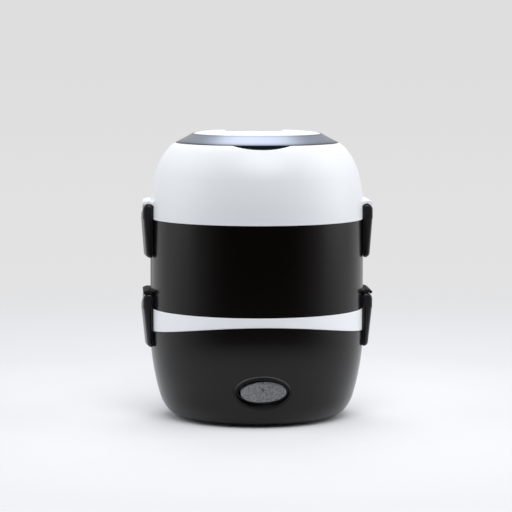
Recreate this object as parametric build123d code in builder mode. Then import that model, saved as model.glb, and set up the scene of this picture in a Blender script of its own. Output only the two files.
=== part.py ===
from build123d import *
from math import asin, cos, hypot, radians, sin, sqrt, tan
import os

os.makedirs("parts", exist_ok=True)

# Round three-tier electric lunch box. Millimetres, +Z up, origin on the table under its centre.
# The front, with the switch, faces -Y, and the snap latches stand at +X and -X.

# ---- Driving dimensions: casing ----
body_radius = 85.0          # straight wall of the lid rim, middle tier and collar
foot_height = 1.5           # feet below the underside of the base
base_height = 86.4          # base, from its underside to the lower seam
middle_height = 71.1        # middle tier, from the lower seam to the upper seam
wall = 2.5                  # moulded wall of the casings
rim_wall = 4.7              # thicker rim that carries the latch hinges
rim_height = 16.0           # height of that thicker rim above its seam
fit_gap = 0.3               # gap between neighbouring pieces that come apart

# ---- Driving dimensions: base ----
base_step = 0.4             # the black base laps this far outside the white collar
side_bend = 194.1           # radii of the base wall, from the rim down to the underside
shoulder_bend = 30.4
heel_bend = 15.4
side_turn = 16.5            # degrees that each of the first two bends turns
shoulder_turn = 21.9
rim_bow = 349.0             # radius of the bowed top edge of the base, seen from the front
collar_front = 7.6          # collar that shows above that edge at front and back
lip_height = 4.0            # locating lip above each seam
lip_wall = 1.9

# ---- Driving dimensions: lid ----
rim_straight = 6.28         # straight wall above the upper seam
flank_bend = 116.3          # radii of the dome, from the rim up to the handle ring
crest_bend = 50.3
brow_bend = 19.0
flank_turn = 14.55          # degrees that each bend turns
crest_turn = 25.8
brow_turn = 24.7
ring_width = 13.2           # width of the black handle ring, seen from above
ring_rise = 7.1             # its inner edge above its outer edge
ring_skirt = 3.0            # depth of its outer edge
ring_gap = 0.5              # gap round the handle ring
crown_rise = 1.3            # shoulders of the crown above the inner edge of the ring
crown_gap = 0.6             # gap between crown and ring
crown_edge_drop = 0.1       # edge of the crown below the inner edge of the ring
crown_slope_run = 6.2       # width of the slope from that edge up to the shoulders
crown_blend = 15.0
channel_half_width = 22.5   # flat channel across the crown, front to back, level with its edge
channel_side_run = 2.0
scoop_radius = 52.0         # ball that shapes the finger scoop at the front
scoop_reach = 5.8           # how far the scoop runs out past the ring
scoop_depth = 3.0           # its lowest point below the floor of the ring recess
handle_barrel = 4.8         # round ends of the handle about its hinge axis
handle_pin = 1.6
handle_pin_bite = 4.5       # length of a handle pin inside the handle

# ---- Driving dimensions: latches ----
latch_width = 37.0
latch_drop = 30.6           # end of the latch below its seam
hinge_reach = 1.7           # hinge axis outside the body wall
hinge_rise = 7.6            # hinge axis above the seam
barrel_radius = 4.4         # round top of the latch about its hinge axis
plate_top_rise = 0.5        # top edge of the latch plate above the seam
plate_proud = 1.3           # the plate stands this far outside the latch's neck
plate_taper = 2.05          # and draws in this much towards its lower end
lower_latch_lean = 0.9      # the lower latches draw in this much more, with the wall
plate_skin = 2.2
plate_round = 1.8           # rounding of the plate's ends
plate_top_round = 0.5
head_round = 0.8
tip_chamfer = 1.2           # slope at the foot of the inner lip
hood_gap = 0.6              # room between barrel and hood
hood_wall = 2.4
hood_round = 0.8            # rounding of the hood's edges
hood_lip_angle = 50.0       # degrees above horizontal where the hood ends
lug_width = 12.0
lug_radius = 3.0
lug_clear = 0.4
latch_pin = 1.25
pin_end_wall = 2.0          # wall that closes a latch's pin hole at the front
catch_rise = 1.0            # bead that each latch snaps over
catch_drop = 21.6           # its crest below the seam
catch_half_angle = 8.0      # degrees each side of the latch's centre
lip_drop = 25.6             # top of the latch's inner lip below the seam

# ---- Driving dimensions: inside ----
steel = 0.8                 # sheet of the bowls
pan_steel = 1.0
pan_floor_height = 38.0     # underside of the heating pan above the table
pan_drop = 4.0              # flange of the pan below the lower seam
pan_flange = 4.5            # width of that flange
pan_side_run = 15.5         # the pan's mouth is this much wider than its flat floor, on the radius
stand_inset = 10.0          # ring that the lower bowl stands on, inside the edge of that floor
spigot_drop = 24.0          # foot of the white collar below the lower seam
liner_wall = 1.5
bowl_flare = 8.0            # a bowl's mouth is this much wider than its foot, on the radius
bowl_rim = 1.6
bowl_lid_height = 4.0
lower_bowl_inset = 6.0      # mouth of each bowl inside the wall round it, on the radius
middle_bowl_inset = 6.8
upper_bowl_inset = 15.0
lower_bowl_room = 5.9       # room from each bowl's rim up to what is above it
middle_bowl_room = 8.6
upper_bowl_room = 20.9
tray_thickness = 1.5
tray_rim = 5.0
plate_radius = 45.0         # heating plate
plate_height = 6.0
cover_radius = 59.7
cover_height = 2.5
foot_radius = 6.0
foot_circle = 46.0
screw_circle = 54.5
screw_radius = 1.5
screw_length = 9.0

# ---- Driving dimensions: switch and inlet ----
switch_height = 29.0        # centre of the switch above the table
bezel_half_width = 22.5
bezel_half_height = 14.0
bezel_proud = 0.7
dish_depth = 4.0
rocker_half_width = 17.8
rocker_half_height = 8.4
rocker_pivot_depth = 10.5
rocker_tilt = 5.0           # degrees each way from level
inlet_height = 27.0         # centre of the mains inlet above the table
inlet_width = 24.0
inlet_tall = 16.4
inlet_depth = 14.0
inlet_flange = 2.2

# ---- Levels and radii worked out from them ----
z_base = foot_height
z_low = z_base + base_height                # lower seam
z_high = z_low + middle_height              # upper seam
base_radius = body_radius + base_step
rim_inner = body_radius - rim_wall
lip_outer = rim_inner - 0.4
lip_inner = lip_outer - lip_wall
pan_top_radius = lip_inner - pan_flange
pan_foot_radius = pan_top_radius - pan_side_run
lower_bowl_radius = pan_top_radius - lower_bowl_inset
middle_bowl_radius = lip_inner - middle_bowl_inset
upper_bowl_radius = lip_inner - upper_bowl_inset
heel_turn = 90.0 - side_turn - shoulder_turn


def climb(bends):
    """Rise and inward run of tangent bends that start upright: pairs of radius and turn."""
    rise = 0.0
    run = 0.0
    angle = 0.0
    for radius, turn in bends:
        end = angle + radians(turn)
        rise += radius * (sin(end) - sin(angle))
        run += radius * (cos(angle) - cos(end))
        angle = end
    return rise, run


base_bends = [(side_bend, side_turn), (shoulder_bend, shoulder_turn), (heel_bend, heel_turn)]
dome_bends = [(flank_bend, flank_turn), (crest_bend, crest_turn), (brow_bend, brow_turn)]
base_rise = climb(base_bends)[0]
dome_rise, dome_run = climb(dome_bends)
z_base_turn = z_base + base_rise            # the base wall is upright above this level
z_ring = z_high + rim_straight + dome_rise  # outer edge of the handle ring
ring_outer = body_radius - dome_run
ring_inner = ring_outer - ring_width
z_ring_top = z_ring + ring_rise
z_ring_foot = z_ring - ring_skirt
z_recess = z_ring_foot - ring_gap           # floor of the recess under the ring
crown_radius = ring_inner - crown_gap
z_crown = z_ring_top + crown_rise
z_crown_edge = z_ring_top - crown_edge_drop
z_handle_axis = z_ring_top - handle_barrel


def bend_curve(start, heading, bends, inset, turn_sign):
    """Tangent arcs that follow one another, moved towards their centres by inset."""
    for radius, turn in bends:
        arc = JernArc(start, heading, radius - inset, turn_sign * turn)
        start = arc @ 1
        heading = arc % 1
    return start


def base_outline(inset, top):
    """Half section of the base's outside, moved inwards by inset, closed on the axis."""
    with BuildLine() as outline:
        Polyline((0, top), (base_radius - inset, top), (base_radius - inset, z_base_turn))
        heel = bend_curve((base_radius - inset, z_base_turn), (0, -1), base_bends, inset, -1)
        Polyline(heel, (0, heel.Y), (0, top))
    return outline.line.edges()


def dome_outline(inset, bottom):
    """Half section of the lid's outside, moved inwards by inset, closed on the axis."""
    with BuildLine() as outline:
        Polyline((0, bottom), (body_radius - inset, bottom), (body_radius - inset, z_high + rim_straight))
        brow = bend_curve((body_radius - inset, z_high + rim_straight), (0, 1), dome_bends, inset, 1)
        Polyline(brow, (0, brow.Y), (0, bottom))
    return outline.line.edges()


pin_seat_gap = 0.02
pin_run_gap = 0.06
hinge_x = body_radius + hinge_reach
pocket_radius = barrel_radius + hood_gap
hood_outer = pocket_radius + hood_wall
hood_width = latch_width + 2.0


def hinge_hoods(seam):
    """The arched hood over each latch, standing out of the wall."""

    def round_edge(edge):
        """True for the edges at the hood's outer radius, apart from the one inside the wall."""
        middle = edge @ 0.5
        reach = hypot(abs(middle.X) - hinge_x, middle.Z - axis_height)
        return middle.Z > axis_height + 0.1 and abs(reach - hood_outer) < 0.01

    lip_run = 2 * hood_outer
    axis_height = seam + hinge_rise
    lip_climb = lip_run * tan(radians(hood_lip_angle))
    with BuildPart() as hoods:
        with BuildSketch(Plane.XZ):
            for side in (-1, 1):
                axis_x = side * hinge_x
                with Locations((axis_x, axis_height)):
                    Circle(hood_outer)
                    Rectangle(
                        4 * hood_outer,
                        2 * hood_outer,
                        align=(Align.CENTER, Align.MAX),
                        mode=Mode.SUBTRACT,
                    )
                with BuildLine():
                    Polyline(
                        (axis_x, axis_height),
                        (axis_x + side * lip_run, axis_height),
                        (axis_x + side * lip_run, axis_height + lip_climb),
                        close=True,
                    )
                make_face(mode=Mode.SUBTRACT)
        extrude(amount=hood_width / 2, both=True)
        fillet(hoods.edges().filter_by(round_edge), hood_round)
    return hoods.part


def hinge_pockets(seam):
    """The room for each latch's barrel: round behind the hood and open down to the seam."""
    with BuildPart() as pockets:
        with BuildSketch(Plane.XZ):
            for side in (-1, 1):
                with Locations((side * hinge_x, seam + hinge_rise)):
                    Circle(pocket_radius)
                with Locations((side * (hinge_x + hood_outer - pocket_radius), seam + hinge_rise)):
                    Rectangle(2 * hood_outer, 2 * hinge_rise, align=(Align.CENTER, Align.MAX))
        extrude(amount=hood_width / 2, both=True)
    return pockets.part


def hinge_lugs(seam):
    """The lug in the middle of each pocket, bored for the latch pin."""
    with BuildPart() as lugs:
        with BuildSketch(Plane.XZ):
            for side in (-1, 1):
                with Locations((side * (hinge_x + rim_inner + 1) / 2, seam + hinge_rise)):
                    Rectangle(hinge_x - rim_inner - 1, 2 * lug_radius)
                with Locations((side * hinge_x, seam + hinge_rise)):
                    Circle(lug_radius)
                    Circle(latch_pin + pin_seat_gap, mode=Mode.SUBTRACT)
        extrude(amount=lug_width / 2, both=True)
    return lugs.part


def catch_beads(radius, seam):
    """The low bead on each side that a latch's inner lip snaps over."""
    crest = seam - catch_drop
    with BuildPart() as beads:
        for middle in (0, 180):
            start = radians(middle - catch_half_angle)
            side_plane = Plane(
                (0, 0, 0), x_dir=(cos(start), sin(start), 0), z_dir=(sin(start), -cos(start), 0)
            )
            with BuildSketch(side_plane):
                with BuildLine():
                    Polyline(
                        (radius - wall / 2, crest + 3 * catch_rise),
                        (radius, crest + 3 * catch_rise),
                        (radius + catch_rise, crest + 0.3),
                        (radius + catch_rise, crest - 0.3),
                        (radius, crest - 1.5 * catch_rise),
                        (radius - wall / 2, crest - 1.5 * catch_rise),
                        close=True,
                    )
                make_face()
            revolve(axis=Axis.Z, revolution_arc=2 * catch_half_angle)
    return beads.part


# ======== Base ========

# Black lower casing: a bowed top edge, a wall that rounds in to the underside, and two openings.


def wall_plane(height, front):
    """Plane on the base wall at this height, facing straight out of it, and x to the viewer's right."""
    lean = asin((z_base_turn - height) / side_bend)
    reach = base_radius - side_bend * (1 - cos(lean))
    facing = -1 if front else 1
    out = (0, facing * cos(lean), -sin(lean))
    return Plane((0, facing * reach, height), x_dir=(-facing, 0, 0), z_dir=out)


switch_plane = wall_plane(switch_height, front=True)
inlet_plane = wall_plane(inlet_height, front=False)
hole_gap = 0.15
ledge_depth = 8.0
ledge_top = z_base + cover_height + 2 * wall

base_beads = catch_beads(base_radius, z_low)

with BuildPart() as base_shell:
    with BuildSketch(Plane.XZ):
        make_face(base_outline(0, z_low))
    revolve(axis=Axis.Z)
    with BuildSketch(Plane.XZ):
        make_face(base_outline(wall, z_low))
        with BuildLine():
            Polyline((0, 0), (body_radius, 0), (body_radius, ledge_top), (0, ledge_top), close=True)
        make_face(mode=Mode.SUBTRACT)
    revolve(axis=Axis.Z, mode=Mode.SUBTRACT)
    with BuildSketch(Plane.XZ):
        with Locations((0, z_low - collar_front - rim_bow)):
            Rectangle(4 * body_radius, 4 * rim_bow)
            Circle(rim_bow, mode=Mode.SUBTRACT)
    extrude(amount=2 * body_radius, both=True, mode=Mode.SUBTRACT)
    with BuildSketch(Plane.XY.offset(z_base)):
        Circle(cover_radius + fit_gap)
    extrude(amount=cover_height, mode=Mode.SUBTRACT)
    with BuildSketch(Plane.XY.offset(z_base)):
        Circle(cover_radius - ledge_depth)
    extrude(amount=base_height, mode=Mode.SUBTRACT)
    with BuildSketch(Plane.XY.offset(ledge_top)):
        with PolarLocations(screw_circle, 4):
            Circle(screw_radius + wall)
    extrude(amount=screw_length - 2 * wall)
    with BuildSketch(Plane.XY.offset(z_base)):
        with PolarLocations(screw_circle, 4):
            Circle(screw_radius + pin_seat_gap)
    extrude(amount=screw_length + cover_height, mode=Mode.SUBTRACT)
    with BuildSketch(switch_plane):
        Ellipse(bezel_half_width + hole_gap, bezel_half_height + hole_gap)
    extrude(amount=3 * wall, both=True, mode=Mode.SUBTRACT)
    with BuildSketch(inlet_plane):
        RectangleRounded(
            inlet_width + 2 * wall + 2 * hole_gap, inlet_tall + 2 * wall + 2 * hole_gap, wall
        )
    extrude(amount=3 * wall, both=True, mode=Mode.SUBTRACT)
    add(base_beads)
base_shell.part.label = "base_shell"
export_step(base_shell.part, "parts/base_shell.step")

# White collar: the band above the base, a spigot inside it, a locating lip and a ledge for the pan.
spigot_radius = base_radius - wall - 2 * fit_gap
spigot_bottom = z_low - spigot_drop
pan_ledge = z_low - pan_drop
collar_ledge = 2.0

with BuildPart() as base_collar:
    with BuildSketch(Plane.XY.offset(spigot_bottom)):
        Circle(body_radius)
    extrude(amount=z_low - spigot_bottom)
    with BuildSketch(Plane.XZ):
        with Locations((0, z_low - collar_front - rim_bow + hole_gap)):
            Circle(rim_bow)
    extrude(amount=2 * body_radius, both=True, mode=Mode.SUBTRACT)
    with BuildSketch(Plane.XY.offset(spigot_bottom)):
        Circle(spigot_radius)
    extrude(amount=z_low - spigot_bottom)
    with BuildSketch(Plane.XY.offset(z_low)):
        Circle(lip_outer)
    extrude(amount=lip_height)
    with BuildSketch(Plane.XY.offset(pan_ledge)):
        Circle(lip_inner)
    extrude(amount=z_low + lip_height - pan_ledge, mode=Mode.SUBTRACT)
    with BuildSketch(Plane.XY.offset(pan_ledge - collar_ledge)):
        Circle(pan_top_radius + hole_gap)
    extrude(amount=collar_ledge, mode=Mode.SUBTRACT)
    with BuildSketch(Plane.XY.offset(spigot_bottom)):
        Circle(spigot_radius - wall)
    extrude(amount=pan_ledge - collar_ledge - spigot_bottom, mode=Mode.SUBTRACT)
base_collar.part.label = "base_collar"
export_step(base_collar.part, "parts/base_collar.step")

# Steel heating pan that holds the water, with a raised ring that the lower bowl stands on.
pan_foot_round = 10.0
pan_wall_foot = pan_foot_radius + pan_foot_round
stand_radius = pan_foot_radius - stand_inset
stand_height = 2.0

with BuildPart() as heating_pan:
    with BuildSketch(Plane.XZ):
        with BuildLine():
            Polyline(
                (0, pan_floor_height),
                (pan_foot_radius, pan_floor_height),
                (pan_wall_foot, pan_floor_height + pan_foot_round),
                (pan_top_radius, pan_ledge),
                (lip_inner - hole_gap, pan_ledge),
                (lip_inner - hole_gap, pan_ledge + pan_steel),
                (pan_top_radius - pan_steel, pan_ledge + pan_steel),
                (pan_wall_foot - pan_steel, pan_floor_height + pan_foot_round + 0.4 * pan_steel),
                (pan_foot_radius - 0.4 * pan_steel, pan_floor_height + pan_steel),
                (stand_radius + 2 * stand_height, pan_floor_height + pan_steel),
                (stand_radius + 0.5, pan_floor_height + pan_steel + stand_height),
                (stand_radius - 0.5, pan_floor_height + pan_steel + stand_height),
                (stand_radius - 2 * stand_height, pan_floor_height + pan_steel),
                (0, pan_floor_height + pan_steel),
                close=True,
            )
        make_face()
    revolve(axis=Axis.Z)
heating_pan.part.label = "heating_pan"
export_step(heating_pan.part, "parts/heating_pan.step")

# Cast heating plate under the pan, with a raised bead where its element runs.
z_plate = pan_floor_height - plate_height
element_radius = 0.72 * plate_radius
element_bead = 3.0

with BuildPart() as heating_plate:
    with BuildSketch(Plane.XY.offset(z_plate)):
        Circle(plate_radius)
    extrude(amount=plate_height)
    with BuildSketch(Plane.XZ):
        with Locations((element_radius, z_plate)):
            Circle(element_bead)
    revolve(axis=Axis.Z)
heating_plate.part.label = "heating_plate"
export_step(heating_plate.part, "parts/heating_plate.step")

# Thermostat: a snap disc in a cap under the heating plate, with two terminals.
thermostat_radius = 8.0
thermostat_height = 7.0
z_thermostat = z_plate - thermostat_height

with BuildPart() as thermostat:
    with BuildSketch(Plane.XY.offset(z_thermostat)):
        Circle(0.8 * thermostat_radius)
    extrude(amount=thermostat_height)
    with BuildSketch(Plane.XY.offset(z_plate - 0.35 * thermostat_height)):
        Circle(thermostat_radius)
    extrude(amount=0.35 * thermostat_height)
    with BuildSketch(Plane.XY.offset(z_thermostat)):
        with GridLocations(thermostat_radius, 1, 2, 1):
            Rectangle(0.8, 4.0)
    extrude(amount=-thermostat_height / 2)
thermostat.part.label = "thermostat"
export_step(thermostat.part, "parts/thermostat.step")

# Thermal fuse in its spring clip, pressed up against the heating plate.
fuse_radius = 2.0
fuse_length = 12.0
fuse_offset = 20.0
clip_sheet = 0.6

with BuildPart() as thermal_fuse:
    with BuildSketch(Plane.YZ.offset(-fuse_length / 2)):
        with Locations((fuse_offset, z_plate - fuse_radius - clip_sheet)):
            Circle(fuse_radius)
    extrude(amount=fuse_length)
    with BuildSketch(Plane.YZ.offset(-2 * fuse_length / 2)):
        with Locations((fuse_offset, z_plate - fuse_radius - clip_sheet)):
            Circle(0.3 * fuse_radius)
    extrude(amount=2 * fuse_length)
thermal_fuse.part.label = "thermal_fuse"
export_step(thermal_fuse.part, "parts/thermal_fuse.step")

with BuildPart() as fuse_clip:
    with BuildSketch(Plane.YZ.offset(-fuse_length / 4)):
        with Locations((fuse_offset, z_plate - fuse_radius - clip_sheet)):
            Circle(fuse_radius + pin_run_gap + clip_sheet)
            Circle(fuse_radius + pin_run_gap, mode=Mode.SUBTRACT)
        with Locations((fuse_offset + fuse_radius, z_plate)):
            Rectangle(3 * fuse_radius, clip_sheet, align=(Align.MIN, Align.MAX))
        with Locations((fuse_offset, z_plate)):
            Rectangle(4 * fuse_radius, clip_sheet - pin_run_gap, align=(Align.CENTER, Align.MAX))
        with Locations((fuse_offset, z_plate)):
            Rectangle(
                40 * fuse_radius,
                2 * fuse_radius,
                align=(Align.CENTER, Align.MIN),
                mode=Mode.SUBTRACT,
            )
    extrude(amount=fuse_length / 2)
fuse_clip.part.label = "fuse_clip"
export_step(fuse_clip.part, "parts/fuse_clip.step")

# Bottom cover: foot seats, counterbored screw holes and a ring of cooling slots.
seat_depth = 1.0
screw_head = 2.8
screw_head_height = 1.6
drive_length = 2.6
drive_width = 0.7
foot_chamfer = 0.4
slot_count = 16
slot_circle = 28.0

with BuildPart() as bottom_cover:
    with BuildSketch(Plane.XY.offset(z_base)):
        Circle(cover_radius)
    extrude(amount=cover_height)
    with BuildSketch(Plane.XY.offset(z_base)):
        with PolarLocations(foot_circle, 4, start_angle=45):
            Circle(foot_radius + fit_gap / 2)
    extrude(amount=seat_depth, mode=Mode.SUBTRACT)
    with BuildSketch(Plane.XY.offset(z_base)):
        with PolarLocations(screw_circle, 4):
            Circle(screw_radius + 0.2)
        with PolarLocations(slot_circle, slot_count):
            SlotOverall(12, 2)
    extrude(amount=cover_height, mode=Mode.SUBTRACT)
    with BuildSketch(Plane.XY.offset(z_base)):
        with PolarLocations(screw_circle, 4):
            Circle(screw_head + 0.3)
    extrude(amount=screw_head_height, mode=Mode.SUBTRACT)
bottom_cover.part.label = "bottom_cover"
export_step(bottom_cover.part, "parts/bottom_cover.step")

# Four rubber feet pressed into their seats.
with BuildPart() as rubber_feet:
    with BuildSketch(Plane.XY):
        with PolarLocations(foot_circle, 4, start_angle=45):
            Circle(foot_radius)
    extrude(amount=foot_height + seat_depth)
    chamfer(rubber_feet.edges().group_by(Axis.Z)[0], foot_chamfer)
rubber_feet.part.label = "rubber_feet"
export_step(rubber_feet.part, "parts/rubber_feet.step")

# Four screws that hold the bottom cover to the base shell.
with BuildPart() as bottom_screws:
    with BuildSketch(Plane.XY.offset(z_base)):
        with PolarLocations(screw_circle, 4):
            Circle(screw_head)
    extrude(amount=screw_head_height)
    with BuildSketch(Plane.XY.offset(z_base + screw_head_height)):
        with PolarLocations(screw_circle, 4):
            Circle(screw_radius)
    extrude(amount=screw_length)
    with BuildSketch(Plane.XY.offset(z_base)):
        with PolarLocations(screw_circle, 4):
            Rectangle(drive_length, drive_width)
            Rectangle(drive_width, drive_length)
    extrude(amount=screw_head_height / 2, mode=Mode.SUBTRACT)
bottom_screws.part.label = "bottom_screws"
export_step(bottom_screws.part, "parts/bottom_screws.step")

# ======== Switch ========

# Oval bezel whose lip follows the curve of the wall, with a dished mouth down to the rocker.
bezel_back = dish_depth + 5.0
rocker_gap = 0.5 + rocker_pivot_depth * sin(radians(rocker_tilt)) * 0.6
mouth_half_width = rocker_half_width + rocker_gap
mouth_half_height = rocker_half_height + rocker_gap / 2
dish_lip = 1.6

with BuildPart() as bezel_skin:
    with BuildSketch(Plane.XZ):
        make_face(base_outline(-bezel_proud, z_low))
    revolve(axis=Axis.Z)

with BuildPart() as switch_bezel:
    with BuildSketch(switch_plane.offset(-bezel_back)):
        Ellipse(bezel_half_width, bezel_half_height)
    extrude(amount=bezel_back + 4 * bezel_proud)
    add(bezel_skin.part, mode=Mode.INTERSECT)
    with BuildSketch(switch_plane.offset(-dish_depth)):
        Ellipse(mouth_half_width + 1.2, mouth_half_height + 1.2)
    with BuildSketch(switch_plane.offset(4 * bezel_proud)):
        Ellipse(bezel_half_width - dish_lip + 1, bezel_half_height - dish_lip + 1)
    loft(mode=Mode.SUBTRACT)
    with BuildSketch(switch_plane.offset(-bezel_back)):
        Ellipse(mouth_half_width, mouth_half_height)
    extrude(amount=bezel_back, mode=Mode.SUBTRACT)
switch_bezel.part.label = "switch_bezel"
export_step(switch_bezel.part, "parts/switch_bezel.step")

# Rocker: two flats that meet in a shallow crease, a round back and two trunnions.
crease_depth = dish_depth - 0.9
end_rise = 1.3
trunnion_radius = 1.5
trunnion_span = mouth_half_height + 1.4
rocker_underside = 1.6


def rocker_plane():
    """Plane across the switch through the rocker's axis, turned to its rest stop."""
    pivot = switch_plane.offset(-rocker_pivot_depth)
    tilt = radians(rocker_tilt)
    turned_x = pivot.x_dir * cos(tilt) - pivot.z_dir * sin(tilt)
    return Plane(pivot.origin, x_dir=turned_x, z_dir=pivot.x_dir * sin(tilt) + pivot.z_dir * cos(tilt))


rest_plane = rocker_plane()
side_plane = Plane(rest_plane.origin, x_dir=rest_plane.x_dir, z_dir=-rest_plane.y_dir)
crease_height = rocker_pivot_depth - crease_depth

with BuildPart() as switch_rocker:
    with BuildSketch(side_plane):
        with BuildLine():
            Polyline(
                (-rocker_half_width, -rocker_underside),
                (-rocker_half_width, crease_height + end_rise),
                (0, crease_height),
                (rocker_half_width, crease_height + end_rise),
                (rocker_half_width, -rocker_underside),
                close=True,
            )
        make_face()
    extrude(amount=rocker_half_height, both=True)
    with BuildSketch(rest_plane.offset(-2 * rocker_pivot_depth)):
        Ellipse(rocker_half_width, rocker_half_height)
    extrude(amount=4 * rocker_pivot_depth, mode=Mode.INTERSECT)
    with BuildSketch(side_plane):
        Circle(trunnion_radius)
    extrude(amount=trunnion_span, both=True)
switch_rocker.part.label = "switch_rocker"
export_step(switch_rocker.part, "parts/switch_rocker.step")

# Housing behind the bezel, with the rocker's well and bearings.
housing_depth = 7.0
housing_wall = 1.5
housing_half_width = mouth_half_width + housing_wall
housing_half_height = trunnion_span + housing_wall

with BuildPart() as switch_housing:
    with BuildSketch(switch_plane.offset(-bezel_back)):
        RectangleRounded(2 * housing_half_width, 2 * housing_half_height, 3)
    extrude(amount=-housing_depth)
    with BuildSketch(switch_plane.offset(-bezel_back)):
        Ellipse(mouth_half_width, mouth_half_height)
    extrude(amount=-(housing_depth - housing_wall), mode=Mode.SUBTRACT)
    with BuildSketch(side_plane):
        Circle(trunnion_radius + pin_run_gap)
    extrude(amount=trunnion_span + 0.1, both=True, mode=Mode.SUBTRACT)
switch_housing.part.label = "switch_housing"
export_step(switch_housing.part, "parts/switch_housing.step")

# Two blade terminals out of the back of the switch.
blade_width = 6.3
blade_sheet = 0.8
blade_length = 6.0

with BuildPart() as switch_terminals:
    with BuildSketch(switch_plane.offset(-bezel_back - housing_depth)):
        with GridLocations(mouth_half_width, 1, 2, 1):
            Rectangle(blade_sheet, blade_width)
    extrude(amount=-blade_length)
switch_terminals.part.label = "switch_terminals"
export_step(switch_terminals.part, "parts/switch_terminals.step")

# ======== Mains inlet at the back ========
socket_floor = 2.5
pin_sheet = 2.0
pin_width = 4.0
pin_recess = 5.0
pin_spacing = 7.0
pin_offset = 2.0

with BuildPart() as inlet_socket:
    with BuildSketch(inlet_plane.offset(-inlet_depth - socket_floor)):
        RectangleRounded(inlet_width + 2 * wall, inlet_tall + 2 * wall, wall)
    extrude(amount=inlet_depth + socket_floor + hole_gap)
    with BuildSketch(inlet_plane.offset(hole_gap)):
        RectangleRounded(
            inlet_width + 2 * wall + 2 * inlet_flange, inlet_tall + 2 * wall + 2 * inlet_flange, 2 * wall
        )
    extrude(amount=inlet_flange)
    with BuildSketch(inlet_plane.offset(hole_gap + inlet_flange)):
        with BuildLine():
            Polyline(
                (-inlet_width / 2, -inlet_tall / 2),
                (inlet_width / 2, -inlet_tall / 2),
                (inlet_width / 2, inlet_tall / 2 - 5),
                (inlet_width / 2 - 5, inlet_tall / 2),
                (5 - inlet_width / 2, inlet_tall / 2),
                (-inlet_width / 2, inlet_tall / 2 - 5),
                close=True,
            )
        make_face()
    extrude(amount=-(inlet_depth + inlet_flange + hole_gap), mode=Mode.SUBTRACT)
    with BuildSketch(inlet_plane.offset(-inlet_depth - socket_floor)):
        with Locations((-pin_spacing, -pin_offset), (0, pin_offset), (pin_spacing, -pin_offset)):
            Rectangle(pin_sheet, pin_width)
    extrude(amount=socket_floor, mode=Mode.SUBTRACT)
inlet_socket.part.label = "inlet_socket"
export_step(inlet_socket.part, "parts/inlet_socket.step")

with BuildPart() as inlet_pins:
    with BuildSketch(inlet_plane.offset(-inlet_depth - socket_floor - 4)):
        with Locations((-pin_spacing, -pin_offset), (0, pin_offset), (pin_spacing, -pin_offset)):
            Rectangle(pin_sheet, pin_width)
    extrude(amount=inlet_depth + socket_floor + 4 - pin_recess)
inlet_pins.part.label = "inlet_pins"
export_step(inlet_pins.part, "parts/inlet_pins.step")

# ======== Middle tier ========
middle_hoods = hinge_hoods(z_low)
middle_pockets = hinge_pockets(z_low)
middle_lugs = hinge_lugs(z_low)
middle_beads = catch_beads(body_radius, z_high)

with BuildPart() as middle_shell:
    with BuildSketch(Plane.XY.offset(z_low)):
        Circle(body_radius)
    extrude(amount=middle_height)
    add(middle_hoods)
    with BuildSketch(Plane.XY.offset(z_low)):
        Circle(rim_inner)
    extrude(amount=middle_height, mode=Mode.SUBTRACT)
    with BuildSketch(Plane.XY.offset(z_low + rim_height)):
        Circle(body_radius - wall)
        Circle(rim_inner - 1, mode=Mode.SUBTRACT)
    extrude(amount=middle_height - rim_height, mode=Mode.SUBTRACT)
    add(middle_pockets, mode=Mode.SUBTRACT)
    add(middle_lugs)
    add(middle_beads)
middle_shell.part.label = "middle_shell"
export_step(middle_shell.part, "parts/middle_shell.step")

# White liner of the middle tier: steam holes in its floor, a ledge for the tray and a lip above the seam.
gasket_height = 2.2
z_liner_floor = z_low + lip_height + fit_gap + gasket_height
liner_floor = 2.0
z_tray_ledge = z_high - 7.0
ledge_width = 2.5
ledge_height = 3.0
liner_inner = lip_outer - lip_wall
steam_hole = 4.0

with BuildPart() as middle_liner:
    with BuildSketch(Plane.XY.offset(z_liner_floor)):
        Circle(lip_outer)
    extrude(amount=z_high + lip_height - z_liner_floor)
    with BuildSketch(Plane.XY.offset(z_high - 4.0)):
        Circle(body_radius - wall - fit_gap)
    extrude(amount=3.0)
    with BuildSketch(Plane.XY.offset(z_liner_floor + liner_floor)):
        Circle(liner_inner)
    extrude(amount=z_high + lip_height - z_liner_floor, mode=Mode.SUBTRACT)
    with BuildSketch(Plane.XY.offset(z_tray_ledge - ledge_height)):
        Circle(liner_inner)
        Circle(liner_inner - ledge_width, mode=Mode.SUBTRACT)
    extrude(amount=ledge_height)
    with BuildSketch(Plane.XY.offset(z_liner_floor)):
        Circle(steam_hole)
        for ring in range(1, 5):
            with PolarLocations(ring * 14.0, 6 * ring):
                Circle(steam_hole / 2)
    extrude(amount=liner_floor, mode=Mode.SUBTRACT)
middle_liner.part.label = "middle_liner"
export_step(middle_liner.part, "parts/middle_liner.step")

# Silicone ring under the liner's floor that seals on the collar's lip.
with BuildPart() as middle_gasket:
    with BuildSketch(Plane.XY.offset(z_liner_floor - gasket_height)):
        Circle(lip_outer)
        Circle(lip_inner - 1.5, mode=Mode.SUBTRACT)
    extrude(amount=gasket_height)
middle_gasket.part.label = "middle_gasket"
export_step(middle_gasket.part, "parts/middle_gasket.step")

# ======== Lid ========
liner_inset = 2 * wall
z_liner_top = z_recess - wall - 4.9
vent_radius = 5.0
crown_screw_circle = 38.0
crown_boss = 3.6

# The ball that scoops the dome: it meets the dome scoop_reach outside the ring, on the front centre line.
brow_slope = radians(90 - flank_turn - crest_turn - brow_turn)
scoop_edge_radius = ring_outer + scoop_reach
scoop_edge_height = z_ring - scoop_reach * tan(brow_slope)
scoop_low = z_recess - scoop_depth
scoop_centre_height = scoop_low + scoop_radius
scoop_half_chord = sqrt(scoop_radius ** 2 - (scoop_centre_height - scoop_edge_height) ** 2)
scoop_centre = (0, -(scoop_edge_radius - scoop_half_chord), scoop_centre_height)

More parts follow.
